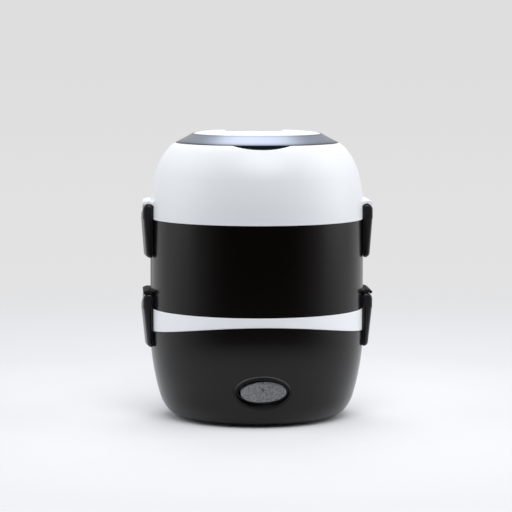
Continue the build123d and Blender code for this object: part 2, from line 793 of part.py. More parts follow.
with BuildPart() as lid_cavity:
    with BuildSketch(Plane.XZ):
        make_face(dome_outline(wall, z_high))
        with Locations((0, z_recess - wall)):
            Rectangle(4 * body_radius, 4 * wall, align=(Align.CENTER, Align.MIN), mode=Mode.SUBTRACT)
        with BuildLine():
            Polyline(
                (rim_inner, z_high),
                (body_radius, z_high),
                (body_radius, z_high + rim_height),
                (rim_inner, z_high + rim_height),
                close=True,
            )
        make_face(mode=Mode.SUBTRACT)
    revolve(axis=Axis.Z)
    with Locations(scoop_centre):
        Sphere(scoop_radius + wall, mode=Mode.SUBTRACT)

lid_hoods = hinge_hoods(z_high)
lid_pockets = hinge_pockets(z_high)
lid_lugs = hinge_lugs(z_high)

with BuildPart() as lid_shell:
    with BuildSketch(Plane.XZ):
        make_face(dome_outline(0, z_high))
    revolve(axis=Axis.Z)
    with BuildSketch(Plane.XY.offset(z_recess)):
        Circle(ring_outer + ring_gap)
    extrude(amount=ring_rise + crown_rise + 2 * wall, mode=Mode.SUBTRACT)
    with Locations(scoop_centre):
        Sphere(scoop_radius, mode=Mode.SUBTRACT)
    with BuildSketch(Plane.XY.offset(z_recess - wall)):
        Circle(crown_radius + ring_gap)
    extrude(amount=wall)
    add(lid_hoods)
    add(lid_cavity.part, mode=Mode.SUBTRACT)
    add(lid_pockets, mode=Mode.SUBTRACT)
    add(lid_lugs)
    with BuildSketch(Plane.XY.offset(z_recess - wall)):
        Circle(vent_radius)
        with PolarLocations(crown_screw_circle, 3, start_angle=90):
            Circle(screw_radius + 0.2)
    extrude(amount=wall, mode=Mode.SUBTRACT)
lid_shell.part.label = "lid_shell"
export_step(lid_shell.part, "parts/lid_shell.step")

# Inner dome that keeps the condensed steam off the outer lid.
with BuildPart() as lid_liner:
    with BuildSketch(Plane.XZ):
        make_face(dome_outline(liner_inset, z_high))
        with Locations((0, z_liner_top)):
            Rectangle(4 * body_radius, body_radius, align=(Align.CENTER, Align.MIN), mode=Mode.SUBTRACT)
        with Locations((0, z_high + 2 * lip_height)):
            Rectangle(4 * body_radius, body_radius, align=(Align.CENTER, Align.MAX), mode=Mode.SUBTRACT)
    revolve(axis=Axis.Z)
    with BuildSketch(Plane.XZ):
        make_face(dome_outline(liner_inset + liner_wall, z_high))
        with Locations((0, z_liner_top - liner_wall)):
            Rectangle(4 * body_radius, body_radius, align=(Align.CENTER, Align.MIN), mode=Mode.SUBTRACT)
    revolve(axis=Axis.Z, mode=Mode.SUBTRACT)
    with BuildSketch(Plane.XY.offset(z_liner_top - 2 * liner_wall)):
        Circle(vent_radius)
    extrude(amount=3 * liner_wall, mode=Mode.SUBTRACT)
lid_liner.part.label = "lid_liner"
export_step(lid_liner.part, "parts/lid_liner.step")

# Silicone ring in the lid that seals on the middle liner's lip.
with BuildPart() as lid_gasket:
    with BuildSketch(Plane.XY.offset(z_high + lip_height + fit_gap)):
        Circle(lip_outer)
        Circle(lip_inner - 1.5, mode=Mode.SUBTRACT)
    extrude(amount=lip_height - 2 * fit_gap)
lid_gasket.part.label = "lid_gasket"
export_step(lid_gasket.part, "parts/lid_gasket.step")

# White crown inside the ring: sloped shoulders, a channel across it, steam holes and three bosses.
crown_wall = 2.2
crown_edge_round = 0.6

with BuildPart() as crown_cap:
    with BuildSketch(Plane.XZ):
        with BuildLine():
            Polyline(
                (0, z_recess),
                (crown_radius, z_recess),
                (crown_radius, z_crown_edge),
                (crown_radius - crown_slope_run, z_crown),
                (0, z_crown),
                close=True,
            )
        make_face()
    revolve(axis=Axis.Z)
    fillet(crown_cap.edges().filter_by(GeomType.CIRCLE).group_by(Axis.Z)[-1], crown_blend)
    rim_edges = crown_cap.edges().filter_by(lambda edge: abs(edge.center().Z - z_crown_edge) < 0.01)
    fillet(rim_edges, crown_edge_round)
    with BuildSketch(Plane.XZ):
        with BuildLine():
            Polyline(
                (-channel_half_width, z_crown_edge),
                (channel_half_width, z_crown_edge),
                (channel_half_width + 2 * channel_side_run, z_crown + crown_rise),
                (-channel_half_width - 2 * channel_side_run, z_crown + crown_rise),
                close=True,
            )
        make_face()
    extrude(amount=2 * crown_radius, both=True, mode=Mode.SUBTRACT)
    with BuildSketch(Plane.XY.offset(z_recess)):
        Circle(crown_radius - crown_wall)
    extrude(amount=z_crown_edge - z_recess - crown_wall, mode=Mode.SUBTRACT)
    with BuildSketch(Plane.XY.offset(z_recess)):
        with PolarLocations(crown_screw_circle, 3, start_angle=90):
            Circle(crown_boss)
    extrude(amount=z_crown_edge - z_recess - crown_wall / 2)
    with BuildSketch(Plane.XY.offset(z_recess)):
        with PolarLocations(crown_screw_circle, 3, start_angle=90):
            Circle(screw_radius + pin_seat_gap)
    extrude(amount=screw_length, mode=Mode.SUBTRACT)
    with BuildSketch(Plane.XY.offset(z_recess)):
        Circle(1.2)
        with PolarLocations(6, 6):
            Circle(1.2)
    extrude(amount=z_crown - z_recess, mode=Mode.SUBTRACT)
    with BuildSketch(Plane.YZ.offset(-crown_radius)):
        with Locations((0, z_handle_axis)):
            Circle(handle_pin + 1.5)
    extrude(amount=2 * crown_radius)
    with BuildSketch(Plane.YZ.offset(-crown_radius + 3 * crown_wall)):
        with Locations((0, z_handle_axis)):
            Circle(handle_pin + 2)
    extrude(amount=2 * (crown_radius - 3 * crown_wall), mode=Mode.SUBTRACT)
    with BuildSketch(Plane.YZ.offset(-crown_radius)):
        with Locations((0, z_handle_axis)):
            Circle(handle_pin + pin_seat_gap)
    extrude(amount=2 * crown_radius, mode=Mode.SUBTRACT)
crown_cap.part.label = "crown_cap"
export_step(crown_cap.part, "parts/crown_cap.step")

with BuildPart() as crown_screws:
    with BuildSketch(Plane.XY.offset(z_recess - wall - screw_head_height)):
        with PolarLocations(crown_screw_circle, 3, start_angle=90):
            Circle(screw_head)
    extrude(amount=screw_head_height)
    with BuildSketch(Plane.XY.offset(z_recess - wall)):
        with PolarLocations(crown_screw_circle, 3, start_angle=90):
            Circle(screw_radius)
    extrude(amount=screw_length)
crown_screws.part.label = "crown_screws"
export_step(crown_screws.part, "parts/crown_screws.step")


def ring_outline():
    """Section of the black ring: a sloped face outside and a lighter, hollowed underside."""
    with BuildLine() as outline:
        Polyline(
            (ring_outer, z_ring_foot),
            (ring_outer, z_ring),
            (ring_inner, z_ring_top),
            (ring_inner, z_ring_foot + 0.35 * ring_rise),
            (ring_inner + 0.6 * ring_width, z_ring_foot),
            close=True,
        )
    return outline.line.edges()


# The front half swings up as the carrying handle; its ends are round about the hinge axis.
with BuildPart() as handle_reach:
    with BuildSketch(Plane.XZ):
        with Locations((0, z_handle_axis)):
            Rectangle(4 * body_radius, 8 * handle_barrel)
    extrude(amount=2 * body_radius)
    with BuildSketch(Plane.YZ.offset(-2 * body_radius)):
        with Locations((0, z_handle_axis)):
            Circle(handle_barrel)
    extrude(amount=4 * body_radius)

with BuildPart() as handle:
    with BuildSketch(Plane.XZ):
        make_face(ring_outline())
    revolve(axis=Axis.Z)
    add(handle_reach.part, mode=Mode.INTERSECT)
    with BuildSketch(Plane.YZ.offset(-ring_inner - handle_pin_bite)):
        with Locations((0, z_handle_axis)):
            Circle(handle_pin + pin_run_gap)
    extrude(amount=2 * (ring_inner + handle_pin_bite), mode=Mode.SUBTRACT)
handle.part.label = "handle"
export_step(handle.part, "parts/handle.step")

# The rear half stays on the lid.
with BuildPart() as rear_trim:
    with BuildSketch(Plane.XZ):
        make_face(ring_outline())
    revolve(axis=Axis.Z)
    with BuildSketch(Plane.XZ.offset(-handle_barrel - ring_gap)):
        Rectangle(4 * body_radius, 4 * z_crown)
    extrude(amount=3 * body_radius, mode=Mode.SUBTRACT)
rear_trim.part.label = "rear_trim"
export_step(rear_trim.part, "parts/rear_trim.step")

with BuildPart() as handle_pins:
    for side in (-1, 1):
        with BuildSketch(Plane.YZ.offset(side * (crown_radius - 3 * crown_wall))):
            with Locations((0, z_handle_axis)):
                Circle(handle_pin)
        extrude(amount=side * (3 * crown_wall + crown_gap + handle_pin_bite - fit_gap))
handle_pins.part.label = "handle_pins"
export_step(handle_pins.part, "parts/handle_pins.step")

# ======== Latches ========

# Each latch: a round top on the hinge pin, a neck, and a plate curved about the body. The plate is
# hollowed behind, and its solid tip is the inner lip that snaps under the bead of the tier below.
neck_outer = hinge_x + barrel_radius
plate_top_radius = neck_outer + plate_proud
wall_clear = base_step + fit_gap            # the plate clears the wall by this much at the seam
plate_inner = body_radius + wall_clear
side_rib = 2.5
lug_room = lug_radius + lug_clear
hollow_drop = 1.5                           # top of the hollow below the seam
slab_half_angle = 15.0


def ring_slab(section_edges, side, half_width):
    """A slab round the body at +X or -X, turned from a section and cut off at half_width each way."""
    start = radians((0 if side > 0 else 180) - slab_half_angle)
    section = Plane((0, 0, 0), x_dir=(cos(start), sin(start), 0), z_dir=(sin(start), -cos(start), 0))
    with BuildPart() as slab:
        with BuildSketch(section):
            make_face(section_edges)
        revolve(axis=Axis.Z, revolution_arc=2 * slab_half_angle)
        with BuildSketch(Plane.XZ):
            Rectangle(4 * body_radius, 4 * z_ring_top)
        extrude(amount=half_width, both=True, mode=Mode.INTERSECT)
    return slab.part


def latch_part(side, seam, lean):
    """One latch in place: side is 1 at +X and -1 at -X; lean draws its lower end in with the wall."""
    axis_x = side * hinge_x
    axis_z = seam + hinge_rise
    plate_top = seam + plate_top_rise
    low_outer = plate_top_radius - plate_taper - lean
    low_inner = plate_inner - 0.55 * lean
    foot = seam - latch_drop
    tip_height = foot + 0.93 * (low_outer - low_inner - tip_chamfer)
    lip_top = seam - lip_drop
    slope = (plate_top_radius - low_outer) / (plate_top - tip_height)
    with BuildLine() as plate_section:
        Polyline(
            (low_inner + tip_chamfer, foot),
            (low_inner, foot + tip_chamfer),
            (plate_inner, seam - catch_drop),
            (plate_inner, plate_top),
            (plate_top_radius, plate_top),
        )
        face_line = Line((plate_top_radius, plate_top), (low_outer, tip_height))
        TangentArc((low_outer, tip_height), (low_inner + tip_chamfer, foot), tangent=face_line % 1)
    with BuildLine() as hollow_section:
        Polyline(
            (body_radius, lip_top),
            (body_radius, seam - hollow_drop),
            (plate_top_radius - plate_skin - slope * hollow_drop, seam - hollow_drop),
            (plate_top_radius - plate_skin - slope * lip_drop, lip_top),
            close=True,
        )
    plate = ring_slab(plate_section.line.edges(), side, latch_width / 2)
    hollow = ring_slab(hollow_section.line.edges(), side, latch_width / 2 - side_rib)
    with BuildPart() as head:
        with BuildSketch(Plane.XZ):
            with Locations((axis_x, axis_z)):
                Circle(barrel_radius)
            with Locations((axis_x, plate_top)):
                Rectangle(2 * barrel_radius, axis_z - plate_top, align=(Align.CENTER, Align.MIN))
        extrude(amount=latch_width / 2, both=True)
        end_edges = head.edges().filter_by(
            lambda edge: abs(abs((edge @ 0.5).Y) - latch_width / 2) < 0.01
            and (edge @ 0.5).Z > plate_top + 0.1
        )
        fillet(end_edges, head_round)
        with BuildSketch(Plane.XY.offset(plate_top)):
            Circle(plate_inner)
        extrude(amount=axis_z - plate_top - barrel_radius / 2, mode=Mode.SUBTRACT)
    with BuildPart() as latch:
        add(plate)
        end_edges = latch.edges().filter_by(
            lambda edge: abs(abs((edge @ 0.5).Y) - latch_width / 2) < 0.01
            and hypot((edge @ 0.5).X, (edge @ 0.5).Y) > plate_inner + 0.9
            and (edge @ 0.5).Z < plate_top - 0.1
        )
        fillet(end_edges, plate_round)
        top_edges = latch.edges().filter_by(
            lambda edge: abs((edge @ 0.5).Z - plate_top) < 0.01
            and hypot((edge @ 0.5).X, (edge @ 0.5).Y) > plate_inner + 1.5
            and abs((edge @ 0.5).Y) < latch_width / 2 - 0.1
        )
        fillet(top_edges, plate_top_round)
        add(hollow, mode=Mode.SUBTRACT)
        add(head.part)
        # slot for the lug of the piece above
        with BuildSketch(Plane.XZ):
            with Locations((axis_x, axis_z)):
                Circle(lug_room)
                Rectangle(2 * lug_room, 2 * barrel_radius, align=(Align.CENTER, Align.MIN))
            with Locations((axis_x - side * 1.5 * barrel_radius, axis_z - lug_room)):
                Rectangle(3 * barrel_radius, 3 * barrel_radius, align=(Align.CENTER, Align.MIN))
        extrude(amount=lug_width / 2 + fit_gap, both=True, mode=Mode.SUBTRACT)
        # pin hole, closed at the front and open at the back
        with BuildSketch(Plane.XZ.offset(latch_width / 2 - pin_end_wall)):
            with Locations((axis_x, axis_z)):
                Circle(latch_pin + pin_run_gap)
        extrude(amount=-latch_width, mode=Mode.SUBTRACT)
    return latch.part


for tier, seam, lean in (("upper", z_high, 0.0), ("lower", z_low, lower_latch_lean)):
    for hand, side in (("left", -1), ("right", 1)):
        latch_solid = latch_part(side, seam, lean)
        latch_solid.label = f"{hand}_{tier}_latch"
        export_step(latch_solid, f"parts/{hand}_{tier}_latch.step")

    with BuildPart() as latch_pins:
        with BuildSketch(Plane.XZ.offset(latch_width / 2 - pin_end_wall - pin_run_gap)):
            with GridLocations(2 * hinge_x, 1, 2, 1):
                with Locations((0, seam + hinge_rise)):
                    Circle(latch_pin)
        extrude(amount=-(latch_width - pin_end_wall - 2 * fit_gap))
    latch_pins.part.label = f"{tier}_latch_pins"
    export_step(latch_pins.part, f"parts/{tier}_latch_pins.step")

# ======== Bowls, their lids and the tray ========
bowl_foot_round = 6.0


def bowl_part(foot_height_z, mouth_radius, height):
    """A steel bowl with a flared wall, a rounded foot and a rolled rim."""
    foot = mouth_radius - bowl_flare
    top = foot_height_z + height
    with BuildPart() as bowl:
        with BuildSketch(Plane.XZ):
            with BuildLine():
                Polyline(
                    (0, foot_height_z),
                    (foot - bowl_foot_round, foot_height_z),
                    (foot - 0.3 * bowl_foot_round, foot_height_z + 0.3 * bowl_foot_round),
                    (foot, foot_height_z + bowl_foot_round),
                    (mouth_radius, top),
                    (mouth_radius - steel, top),
                    (foot - steel, foot_height_z + bowl_foot_round + 0.1 * steel),
                    (
                        foot - 0.3 * bowl_foot_round - 0.7 * steel,
                        foot_height_z + 0.3 * bowl_foot_round + 0.7 * steel,
                    ),
                    (foot - bowl_foot_round - 0.1 * steel, foot_height_z + steel),
                    (0, foot_height_z + steel),
                    close=True,
                )
            make_face()
            with Locations((mouth_radius + bowl_rim / 2 - steel / 2, top - bowl_rim / 2)):
                Circle(bowl_rim / 2 + steel / 4)
        revolve(axis=Axis.Z)
    return bowl.part


def bowl_lid_part(rim_height_z, mouth_radius, height):
    """A plastic lid: a skirt outside the bowl's rim, a plug inside it and a raised grip across the top."""
    outer = mouth_radius + bowl_rim + fit_gap + liner_wall
    wall_lean = bowl_flare / (height - bowl_foot_round)
    plug = mouth_radius - steel - fit_gap - wall_lean * bowl_lid_height
    with BuildPart() as lid:
        with BuildSketch(Plane.XZ):
            with BuildLine():
                Polyline(
                    (0, rim_height_z + fit_gap - bowl_lid_height / 2),
                    (plug - liner_wall, rim_height_z + fit_gap - bowl_lid_height / 2),
                    (plug - liner_wall, rim_height_z + fit_gap - bowl_lid_height),
                    (plug, rim_height_z + fit_gap - bowl_lid_height),
                    (plug, rim_height_z + fit_gap),
                    (outer - liner_wall, rim_height_z + fit_gap),
                    (outer - liner_wall, rim_height_z - bowl_lid_height / 2),
                    (outer, rim_height_z - bowl_lid_height / 2),
                    (outer, rim_height_z + fit_gap + liner_wall),
                    (plug - liner_wall, rim_height_z + fit_gap + liner_wall),
                    (plug - 2 * liner_wall, rim_height_z + fit_gap + liner_wall - bowl_lid_height / 2),
                    (0, rim_height_z + fit_gap + liner_wall - bowl_lid_height / 2),
                    close=True,
                )
            make_face()
        revolve(axis=Axis.Z)
        with BuildSketch(Plane.XY.offset(rim_height_z + fit_gap - bowl_lid_height / 2)):
            SlotOverall(mouth_radius, 6)
        extrude(amount=bowl_lid_height / 2 + liner_wall)
    return lid.part


z_lower_bowl = pan_floor_height + pan_steel + stand_height
z_middle_bowl = z_liner_floor + liner_floor
z_tray = z_tray_ledge
tray_radius = liner_inner - fit_gap
z_upper_bowl = z_tray + tray_thickness
lower_bowl_height = z_low - lower_bowl_room - z_lower_bowl
middle_bowl_height = z_tray - middle_bowl_room - z_middle_bowl
upper_bowl_height = z_liner_top - upper_bowl_room - z_upper_bowl

for tier, foot_z, mouth, height in (
    ("lower", z_lower_bowl, lower_bowl_radius, lower_bowl_height),
    ("middle", z_middle_bowl, middle_bowl_radius, middle_bowl_height),
    ("upper", z_upper_bowl, upper_bowl_radius, upper_bowl_height),
):
    bowl_solid = bowl_part(foot_z, mouth, height)
    bowl_solid.label = f"{tier}_bowl"
    export_step(bowl_solid, f"parts/{tier}_bowl.step")
    bowl_lid_solid = bowl_lid_part(foot_z + height, mouth, height)
    bowl_lid_solid.label = f"{tier}_bowl_lid"
    export_step(bowl_lid_solid, f"parts/{tier}_bowl_lid.step")

# Steam tray on the liner's ledge: a perforated floor and an upturned rim.
with BuildPart() as steam_tray:
    with BuildSketch(Plane.XY.offset(z_tray)):
        Circle(tray_radius)
    extrude(amount=tray_rim)
    with BuildSketch(Plane.XY.offset(z_tray + tray_thickness)):
        Circle(tray_radius - tray_thickness)
    extrude(amount=tray_rim, mode=Mode.SUBTRACT)
    with BuildSketch(Plane.XY.offset(z_tray)):
        Circle(steam_hole)
        for ring in range(1, 5):
            with PolarLocations(ring * 14.0, 6 * ring, start_angle=15):
                Circle(steam_hole / 2)
    extrude(amount=tray_thickness, mode=Mode.SUBTRACT)
steam_tray.part.label = "steam_tray"
export_step(steam_tray.part, "parts/steam_tray.step")
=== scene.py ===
"""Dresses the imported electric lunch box: finishes, screws, the latches' soft ends and the studio."""

import math

import bmesh
import bpy
from bpy.props import FloatProperty, FloatVectorProperty, IntProperty, PointerProperty
from bpy.types import Operator, Panel, PropertyGroup
from mathutils import Matrix, Vector


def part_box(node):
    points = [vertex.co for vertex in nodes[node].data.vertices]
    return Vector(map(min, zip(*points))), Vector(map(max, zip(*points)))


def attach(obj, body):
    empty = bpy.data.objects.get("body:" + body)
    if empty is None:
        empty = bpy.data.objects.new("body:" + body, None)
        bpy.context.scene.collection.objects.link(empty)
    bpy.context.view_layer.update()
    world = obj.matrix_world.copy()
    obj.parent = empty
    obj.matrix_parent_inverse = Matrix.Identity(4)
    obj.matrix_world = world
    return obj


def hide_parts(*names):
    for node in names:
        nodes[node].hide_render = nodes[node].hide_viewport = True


bl_info = {
    "name": "Electric lunch box",
    "version": (1, 0, 0),
    "blender": (4, 5, 0),
    "location": "3D View > Sidebar > Lunch box",
    "description": "Finishes and small parts of a tiered electric lunch box, around its packed solids",
    "category": "Object",
}

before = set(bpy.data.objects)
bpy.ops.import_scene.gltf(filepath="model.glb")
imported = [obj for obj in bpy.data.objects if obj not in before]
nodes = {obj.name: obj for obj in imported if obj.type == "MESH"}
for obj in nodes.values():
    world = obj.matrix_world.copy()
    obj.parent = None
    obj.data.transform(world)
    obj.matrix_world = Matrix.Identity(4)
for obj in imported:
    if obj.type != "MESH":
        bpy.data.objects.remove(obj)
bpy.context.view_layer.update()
SIDEBAR = "Lunch box"


# -------- Sizes and colours that a user would change --------


def colour(name, description, default):
    return FloatVectorProperty(
        name=name, description=description, default=default, subtype="COLOR", size=3, min=0, max=1
    )


def length(name, description, default):
    return FloatProperty(name=name, description=description, default=default, unit="LENGTH", min=0)


def share(name, description, default):
    return FloatProperty(
        name=name, description=description, default=default, subtype="FACTOR", min=0, max=1
    )


def power(name, description, default):
    return FloatProperty(name=name, description=description, default=default, unit="POWER", min=0)


class CasingSettings(PropertyGroup):
    white: colour("White shell", "Moulded white of the lid, crown and collar", (0.915, 0.94, 0.98))
    orange_peel: length("Orange peel", "Height of the waves in the white", 0.000006)
    black: colour("Black shell", "Satin black of the middle tier and base", (0.0026, 0.0017, 0.0014))
    black_mottling: share("Black mottling", "How far the black gets lighter and darker", 0.10)
    black_roughness: share("Black roughness", "Roughness of the black walls", 0.22)
    black_specular: share("Black specular", "Strength of the reflections in the black", 0.31)
    spark_pitch: length("Spark texture pitch", "Size of the grains moulded into the black", 0.00035)
    spark_depth: length("Spark texture depth", "Depth of the grains moulded into the black", 0.000004)
    hood_start: length("Hood start", "Distance from the axis at which the hoods leave the wall", 0.0838)
    hood_blend: length("Hood blend", "Distance over which the wall's gloss turns into the hoods'", 0.002)
    hood_roughness: share("Hood roughness", "Roughness of the black hoods over the lower latches", 0.72)
    cover: colour("Underside", "Black of the bottom cover", (0.02, 0.02, 0.02))
    feet: colour("Feet", "Black rubber of the four feet", (0.03, 0.03, 0.031))


class HandleSettings(PropertyGroup):
    satin: colour("Ring", "Blue-grey metallic lacquer of the handle ring", (0.285, 0.317, 0.388))
    pins: colour("Pins", "Steel of the handle and latch pins", (0.55, 0.55, 0.56))


class LatchSettings(PropertyGroup):
    satin: colour("Latch", "Satin black of the four snap latches", (0.015, 0.014, 0.0165))
    head_radius: length("Head radius", "Radius of a latch's round head about its pin", 0.0044)
    plate_drop: length("Plate drop", "Top of the latch's plate below its pin", 0.0071)
    shoulder_rise: length("Shoulder rise", "Height of the shoulder from plate to head", 0.0063)
    end_round: length("End rounding", "Rounding of the plate's ends", 0.0018)
    plate_proud: length("Plate proud", "How far the plate stands outside the head", 0.00126)
    plate_taper: length("Plate taper", "How far the plate draws in towards its lower end", 0.00205)
    lower_lean: length("Lower lean", "How much more the lower latches draw in", 0.0009)
    wall_radius: length("Inner face", "Distance of a latch's inner face from the box's axis", 0.0854)


class SwitchSettings(PropertyGroup):
    lens: colour("Rocker", "Smoky grey of the translucent rocker", (0.150, 0.154, 0.158))
    bezel: colour("Bezel", "Black of the oval surround", (0.0016, 0.0016, 0.0017))
    # The paler rim is a painted highlight along the upper half of the surround's rounded lip.
    rim: colour("Rim", "Paler rim of the surround, where it has worn", (0.09, 0.09, 0.09))
    rim_half_width: length("Rim half width", "Half the surround's width", 0.0225)
    rim_half_height: length("Rim half height", "Half the surround's height", 0.01364)
    rim_centre: length("Rim centre", "Height of the surround's middle above the table", 0.0293)
    facet_pitch: length("Facet pitch", "Size of the pebbles moulded into the rocker", 0.0014)
    facet_height: length("Facet height", "Depth of the pebbles", 0.00030)
    dot_radius: length("Dot radius", "Radius of the dot in the middle of the rocker", 0.0013)
    tick_width: length("Tick width", "Width of the tick at the rocker's upper edge", 0.0011)
    tick_foot: length("Tick foot", "Lower end of the tick above the rocker's middle", 0.0050)
    tick_blur: length("Tick blur", "Half the width of the tick's soft lower end", 0.0002)
    insulator: colour("Insulator", "Black of the switch's housing and the inlet", (0.03, 0.03, 0.032))
    brass: colour("Contacts", "Brass of the terminals and the inlet's pins", (0.62, 0.50, 0.27))


class InsideSettings(PropertyGroup):
    steel: colour("Stainless", "Spun steel of the bowls and heating pan", (0.60, 0.60, 0.59))
    liner: colour("Liner", "Plain white of the liners and tray", (0.80, 0.80, 0.785))
    clear: colour("Bowl lid", "Milky lid of each bowl", (0.72, 0.75, 0.76))
    silicone: colour("Gasket", "White silicone of the gaskets", (0.70, 0.71, 0.70))
    alloy: colour("Heating plate", "Dull cast alloy", (0.46, 0.46, 0.47))
    ceramic: colour("Thermostat", "Cream ceramic of the thermostat", (0.72, 0.70, 0.64))


class FastenerSettings(PropertyGroup):
    steel: colour("Screws", "Plated steel of the bottom screws", (0.42, 0.42, 0.43))
    head_radius: length("Head radius", "Radius of a bottom screw's head", 0.0028)
    head_height: length("Head height", "Height of a bottom screw's head", 0.0016)
    shank_radius: length("Shank radius", "Radius of a bottom screw's shank", 0.00145)
    shank_length: length("Shank length", "Length of a bottom screw's shank", 0.009)
    slot_width: length("Slot width", "Width of the cross recess", 0.0007)
    slot_length: length("Slot length", "Span of the cross recess", 0.0032)
    circle_radius: length("Screw circle", "Radius of the circle that the screws stand on", 0.0545)
    height: length("Screw height", "Height of the heads' faces above the table", 0.0015)
    number: IntProperty(
        name="Number of screws", description="Screws round the bottom cover", default=4, min=1
    )


class StageSettings(PropertyGroup):
    floor: colour("Floor", "Pale floor near the box", (0.955, 0.967, 0.995))
    horizon: colour("Horizon", "Backdrop where it meets the floor", (0.73, 0.728, 0.732))
    top: colour("Backdrop", "Backdrop above the horizon", (0.716, 0.71, 0.712))
    floor_radius: length("Floor radius", "How far the floor reaches", 14.0)
    overhead: power("Overhead lamp", "Power of the soft box above and behind", 4.2)
    front: power("Front lamp", "Power of the soft box above the camera", 16.4)
    right: power("Right lamp", "Power of the large soft box on the right", 14.0)
    left: power("Left lamp", "Power of the large soft box on the left", 9.3)
    fill: share("Room light", "Strength of the room round the box", 0.74)


SETTINGS = {
    "lunch_casing": CasingSettings,
    "lunch_handle": HandleSettings,
    "lunch_latches": LatchSettings,
    "lunch_switch": SwitchSettings,
    "lunch_inside": InsideSettings,
    "lunch_fasteners": FastenerSettings,
    "lunch_stage": StageSettings,
}


def settings(context, group):
    return getattr(context.scene, group)


# -------- Shader maths --------


class Value:
    """A socket in a node tree, so that arithmetic on it adds Math nodes."""

    def __init__(self, shading, socket):
        self.shading = shading
        self.socket = socket

    def maths(self, operation, *others):
        sockets = dict(enumerate((self, *others)))
        return self.shading.node("ShaderNodeMath", {"operation": operation}, sockets)

    def reflected(self, operation, other):
        return self.shading.node("ShaderNodeMath", {"operation": operation}, {0: other, 1: self})

    def __add__(self, other):
        return self.maths("ADD", other)

    def __sub__(self, other):
        return self.maths("SUBTRACT", other)

    def __mul__(self, other):
        return self.maths("MULTIPLY", other)

    def __truediv__(self, other):
        return self.maths("DIVIDE", other)

    def __pow__(self, other):
        return self.maths("POWER", other)

    def __abs__(self):
        return self.maths("ABSOLUTE")

    def __rsub__(self, other):
        return self.reflected("SUBTRACT", other)

    __radd__ = __add__
    __rmul__ = __mul__

    def clamped(self):
        return self.maths("MINIMUM", 1.0).maths("MAXIMUM", 0.0)


def distance(across, along):
    """How far a point is from a centre, by two Values at a right angle."""
    return (across * across + along * along) ** 0.5


class Shading:
    """A node tree, with one method for every node that it takes."""

    def __init__(self, tree):
        self.tree = tree

    def feed(self, socket, value):
        if isinstance(value, Value):
            self.tree.links.new(value.socket, socket)
        elif socket.type == "RGBA" and len(value) == 3:
            socket.default_value = (*value, 1.0)
        else:
            socket.default_value = value

    def node(self, kind, choices=None, sockets=None, output=0):
        made = self.tree.nodes.new(kind)
        for name, value in (choices or {}).items():
            if name == "stops":
                self.set_stops(made.color_ramp, value)
            else:
                setattr(made, name, value)
        for name, value in (sockets or {}).items():
            self.feed(made.inputs[name], value)
        return Value(self, made.outputs[output])

    @staticmethod
    def set_stops(ramp, stops):
        while len(ramp.elements) < len(stops):
            ramp.elements.new(1.0)
        for element, (position, shade) in zip(ramp.elements, stops):
            element.position = position
            element.color = (*shade, 1.0) if hasattr(shade, "__len__") else (shade, shade, shade, 1.0)

    def axis(self, vector, name):
        return self.node("ShaderNodeSeparateXYZ", sockets={0: vector}, output=name)

    def noise(self, vector, scale, detail, roughness=0.5):
        sockets = {"Vector": vector, "Scale": scale, "Detail": detail, "Roughness": roughness}
        return self.node("ShaderNodeTexNoise", sockets=sockets)

    def cells(self, vector, scale):
        return self.node("ShaderNodeTexVoronoi", sockets={"Vector": vector, "Scale": scale})

    def ramp(self, factor, stops):
        return self.node("ShaderNodeValToRGB", {"stops": stops}, {0: factor})

    def mixed(self, factor, first, second):
        sockets = {0: factor, 6: first, 7: second}
        return self.node("ShaderNodeMix", {"data_type": "RGBA"}, sockets, output=2)

    def multiplied(self, first, second):
        choices = {"data_type": "RGBA", "blend_type": "MULTIPLY"}
        return self.node("ShaderNodeMix", choices, {0: 1.0, 6: first, 7: second}, output=2)

    def between(self, value, low, high):
        """0 up to low, 1 from high on, and smooth in between."""
        choices = {"interpolation_type": "SMOOTHSTEP"}
        sockets = {"Value": value, "From Min": low, "From Max": high}
        return self.node("ShaderNodeMapRange", choices, sockets)


class Finish(Shading):
    """A material built from nodes. Constants go straight on the shader's own sockets."""

    def __init__(self, name, **constants):
        self.material = bpy.data.materials.new(name)
        self.material.use_nodes = True
        super().__init__(self.material.node_tree)
        self.shader = self.tree.nodes["Principled BSDF"]
        for socket, value in constants.items():
            self.feed(self.shader.inputs[socket.replace("_", " ")], value)

    def set(self, socket, value):
        self.feed(self.shader.inputs[socket], value)

    def place(self):
        return self.node("ShaderNodeTexCoord", output="Object")

    def tinted(self, base, factor, change):
        """base, lighter or darker by up to change as factor goes from 0 to 1."""
        darker = tuple(channel * (1 - change) for channel in base)
        lighter = tuple(min(1.0, channel * (1 + change)) for channel in base)
        self.set("Base Color", self.mixed(factor, darker, lighter))

    def mottled(self, place, base, change):
        """base in wide, faint patches."""
        self.tinted(base, self.noise(place, scale=14.0, detail=4.0), change)

    def uneven_gloss(self, place, roughness, spread):
        patches = self.noise(place, scale=60.0, detail=3.0)
        self.set("Roughness", roughness - spread / 2 + patches * spread)

    def bump(self, height, depth):
        sockets = {"Strength": 1.0, "Distance": depth, "Height": height}
        self.set("Normal", self.node("ShaderNodeBump", sockets=sockets))

    def grained(self, place, pitch, depth):
        """The fine texture of a moulded face."""
        self.bump(self.noise(place, scale=1 / pitch, detail=2.0), depth)


def dress(finish, *names):
    """Puts a finish on CAD nodes, in place of the colour that they came with."""
    for name in names:
        slots = nodes[name].data.materials
        slots.clear()
        slots.append(finish.material)


# -------- Finishes --------


def moulded(name, base, *, roughness, spread, pitch, depth, tint, **constants):
    """Moulded plastic: faint mottling, uneven gloss and a fine surface texture.

    The colour varies by tint and the roughness by spread. The texture has grains of a pitch and a depth.
    """
    finish = Finish(name, **constants)
    place = finish.place()
    finish.mottled(place, base, tint)
    finish.uneven_gloss(place, roughness, spread)
    finish.grained(place, pitch, depth)
    return finish


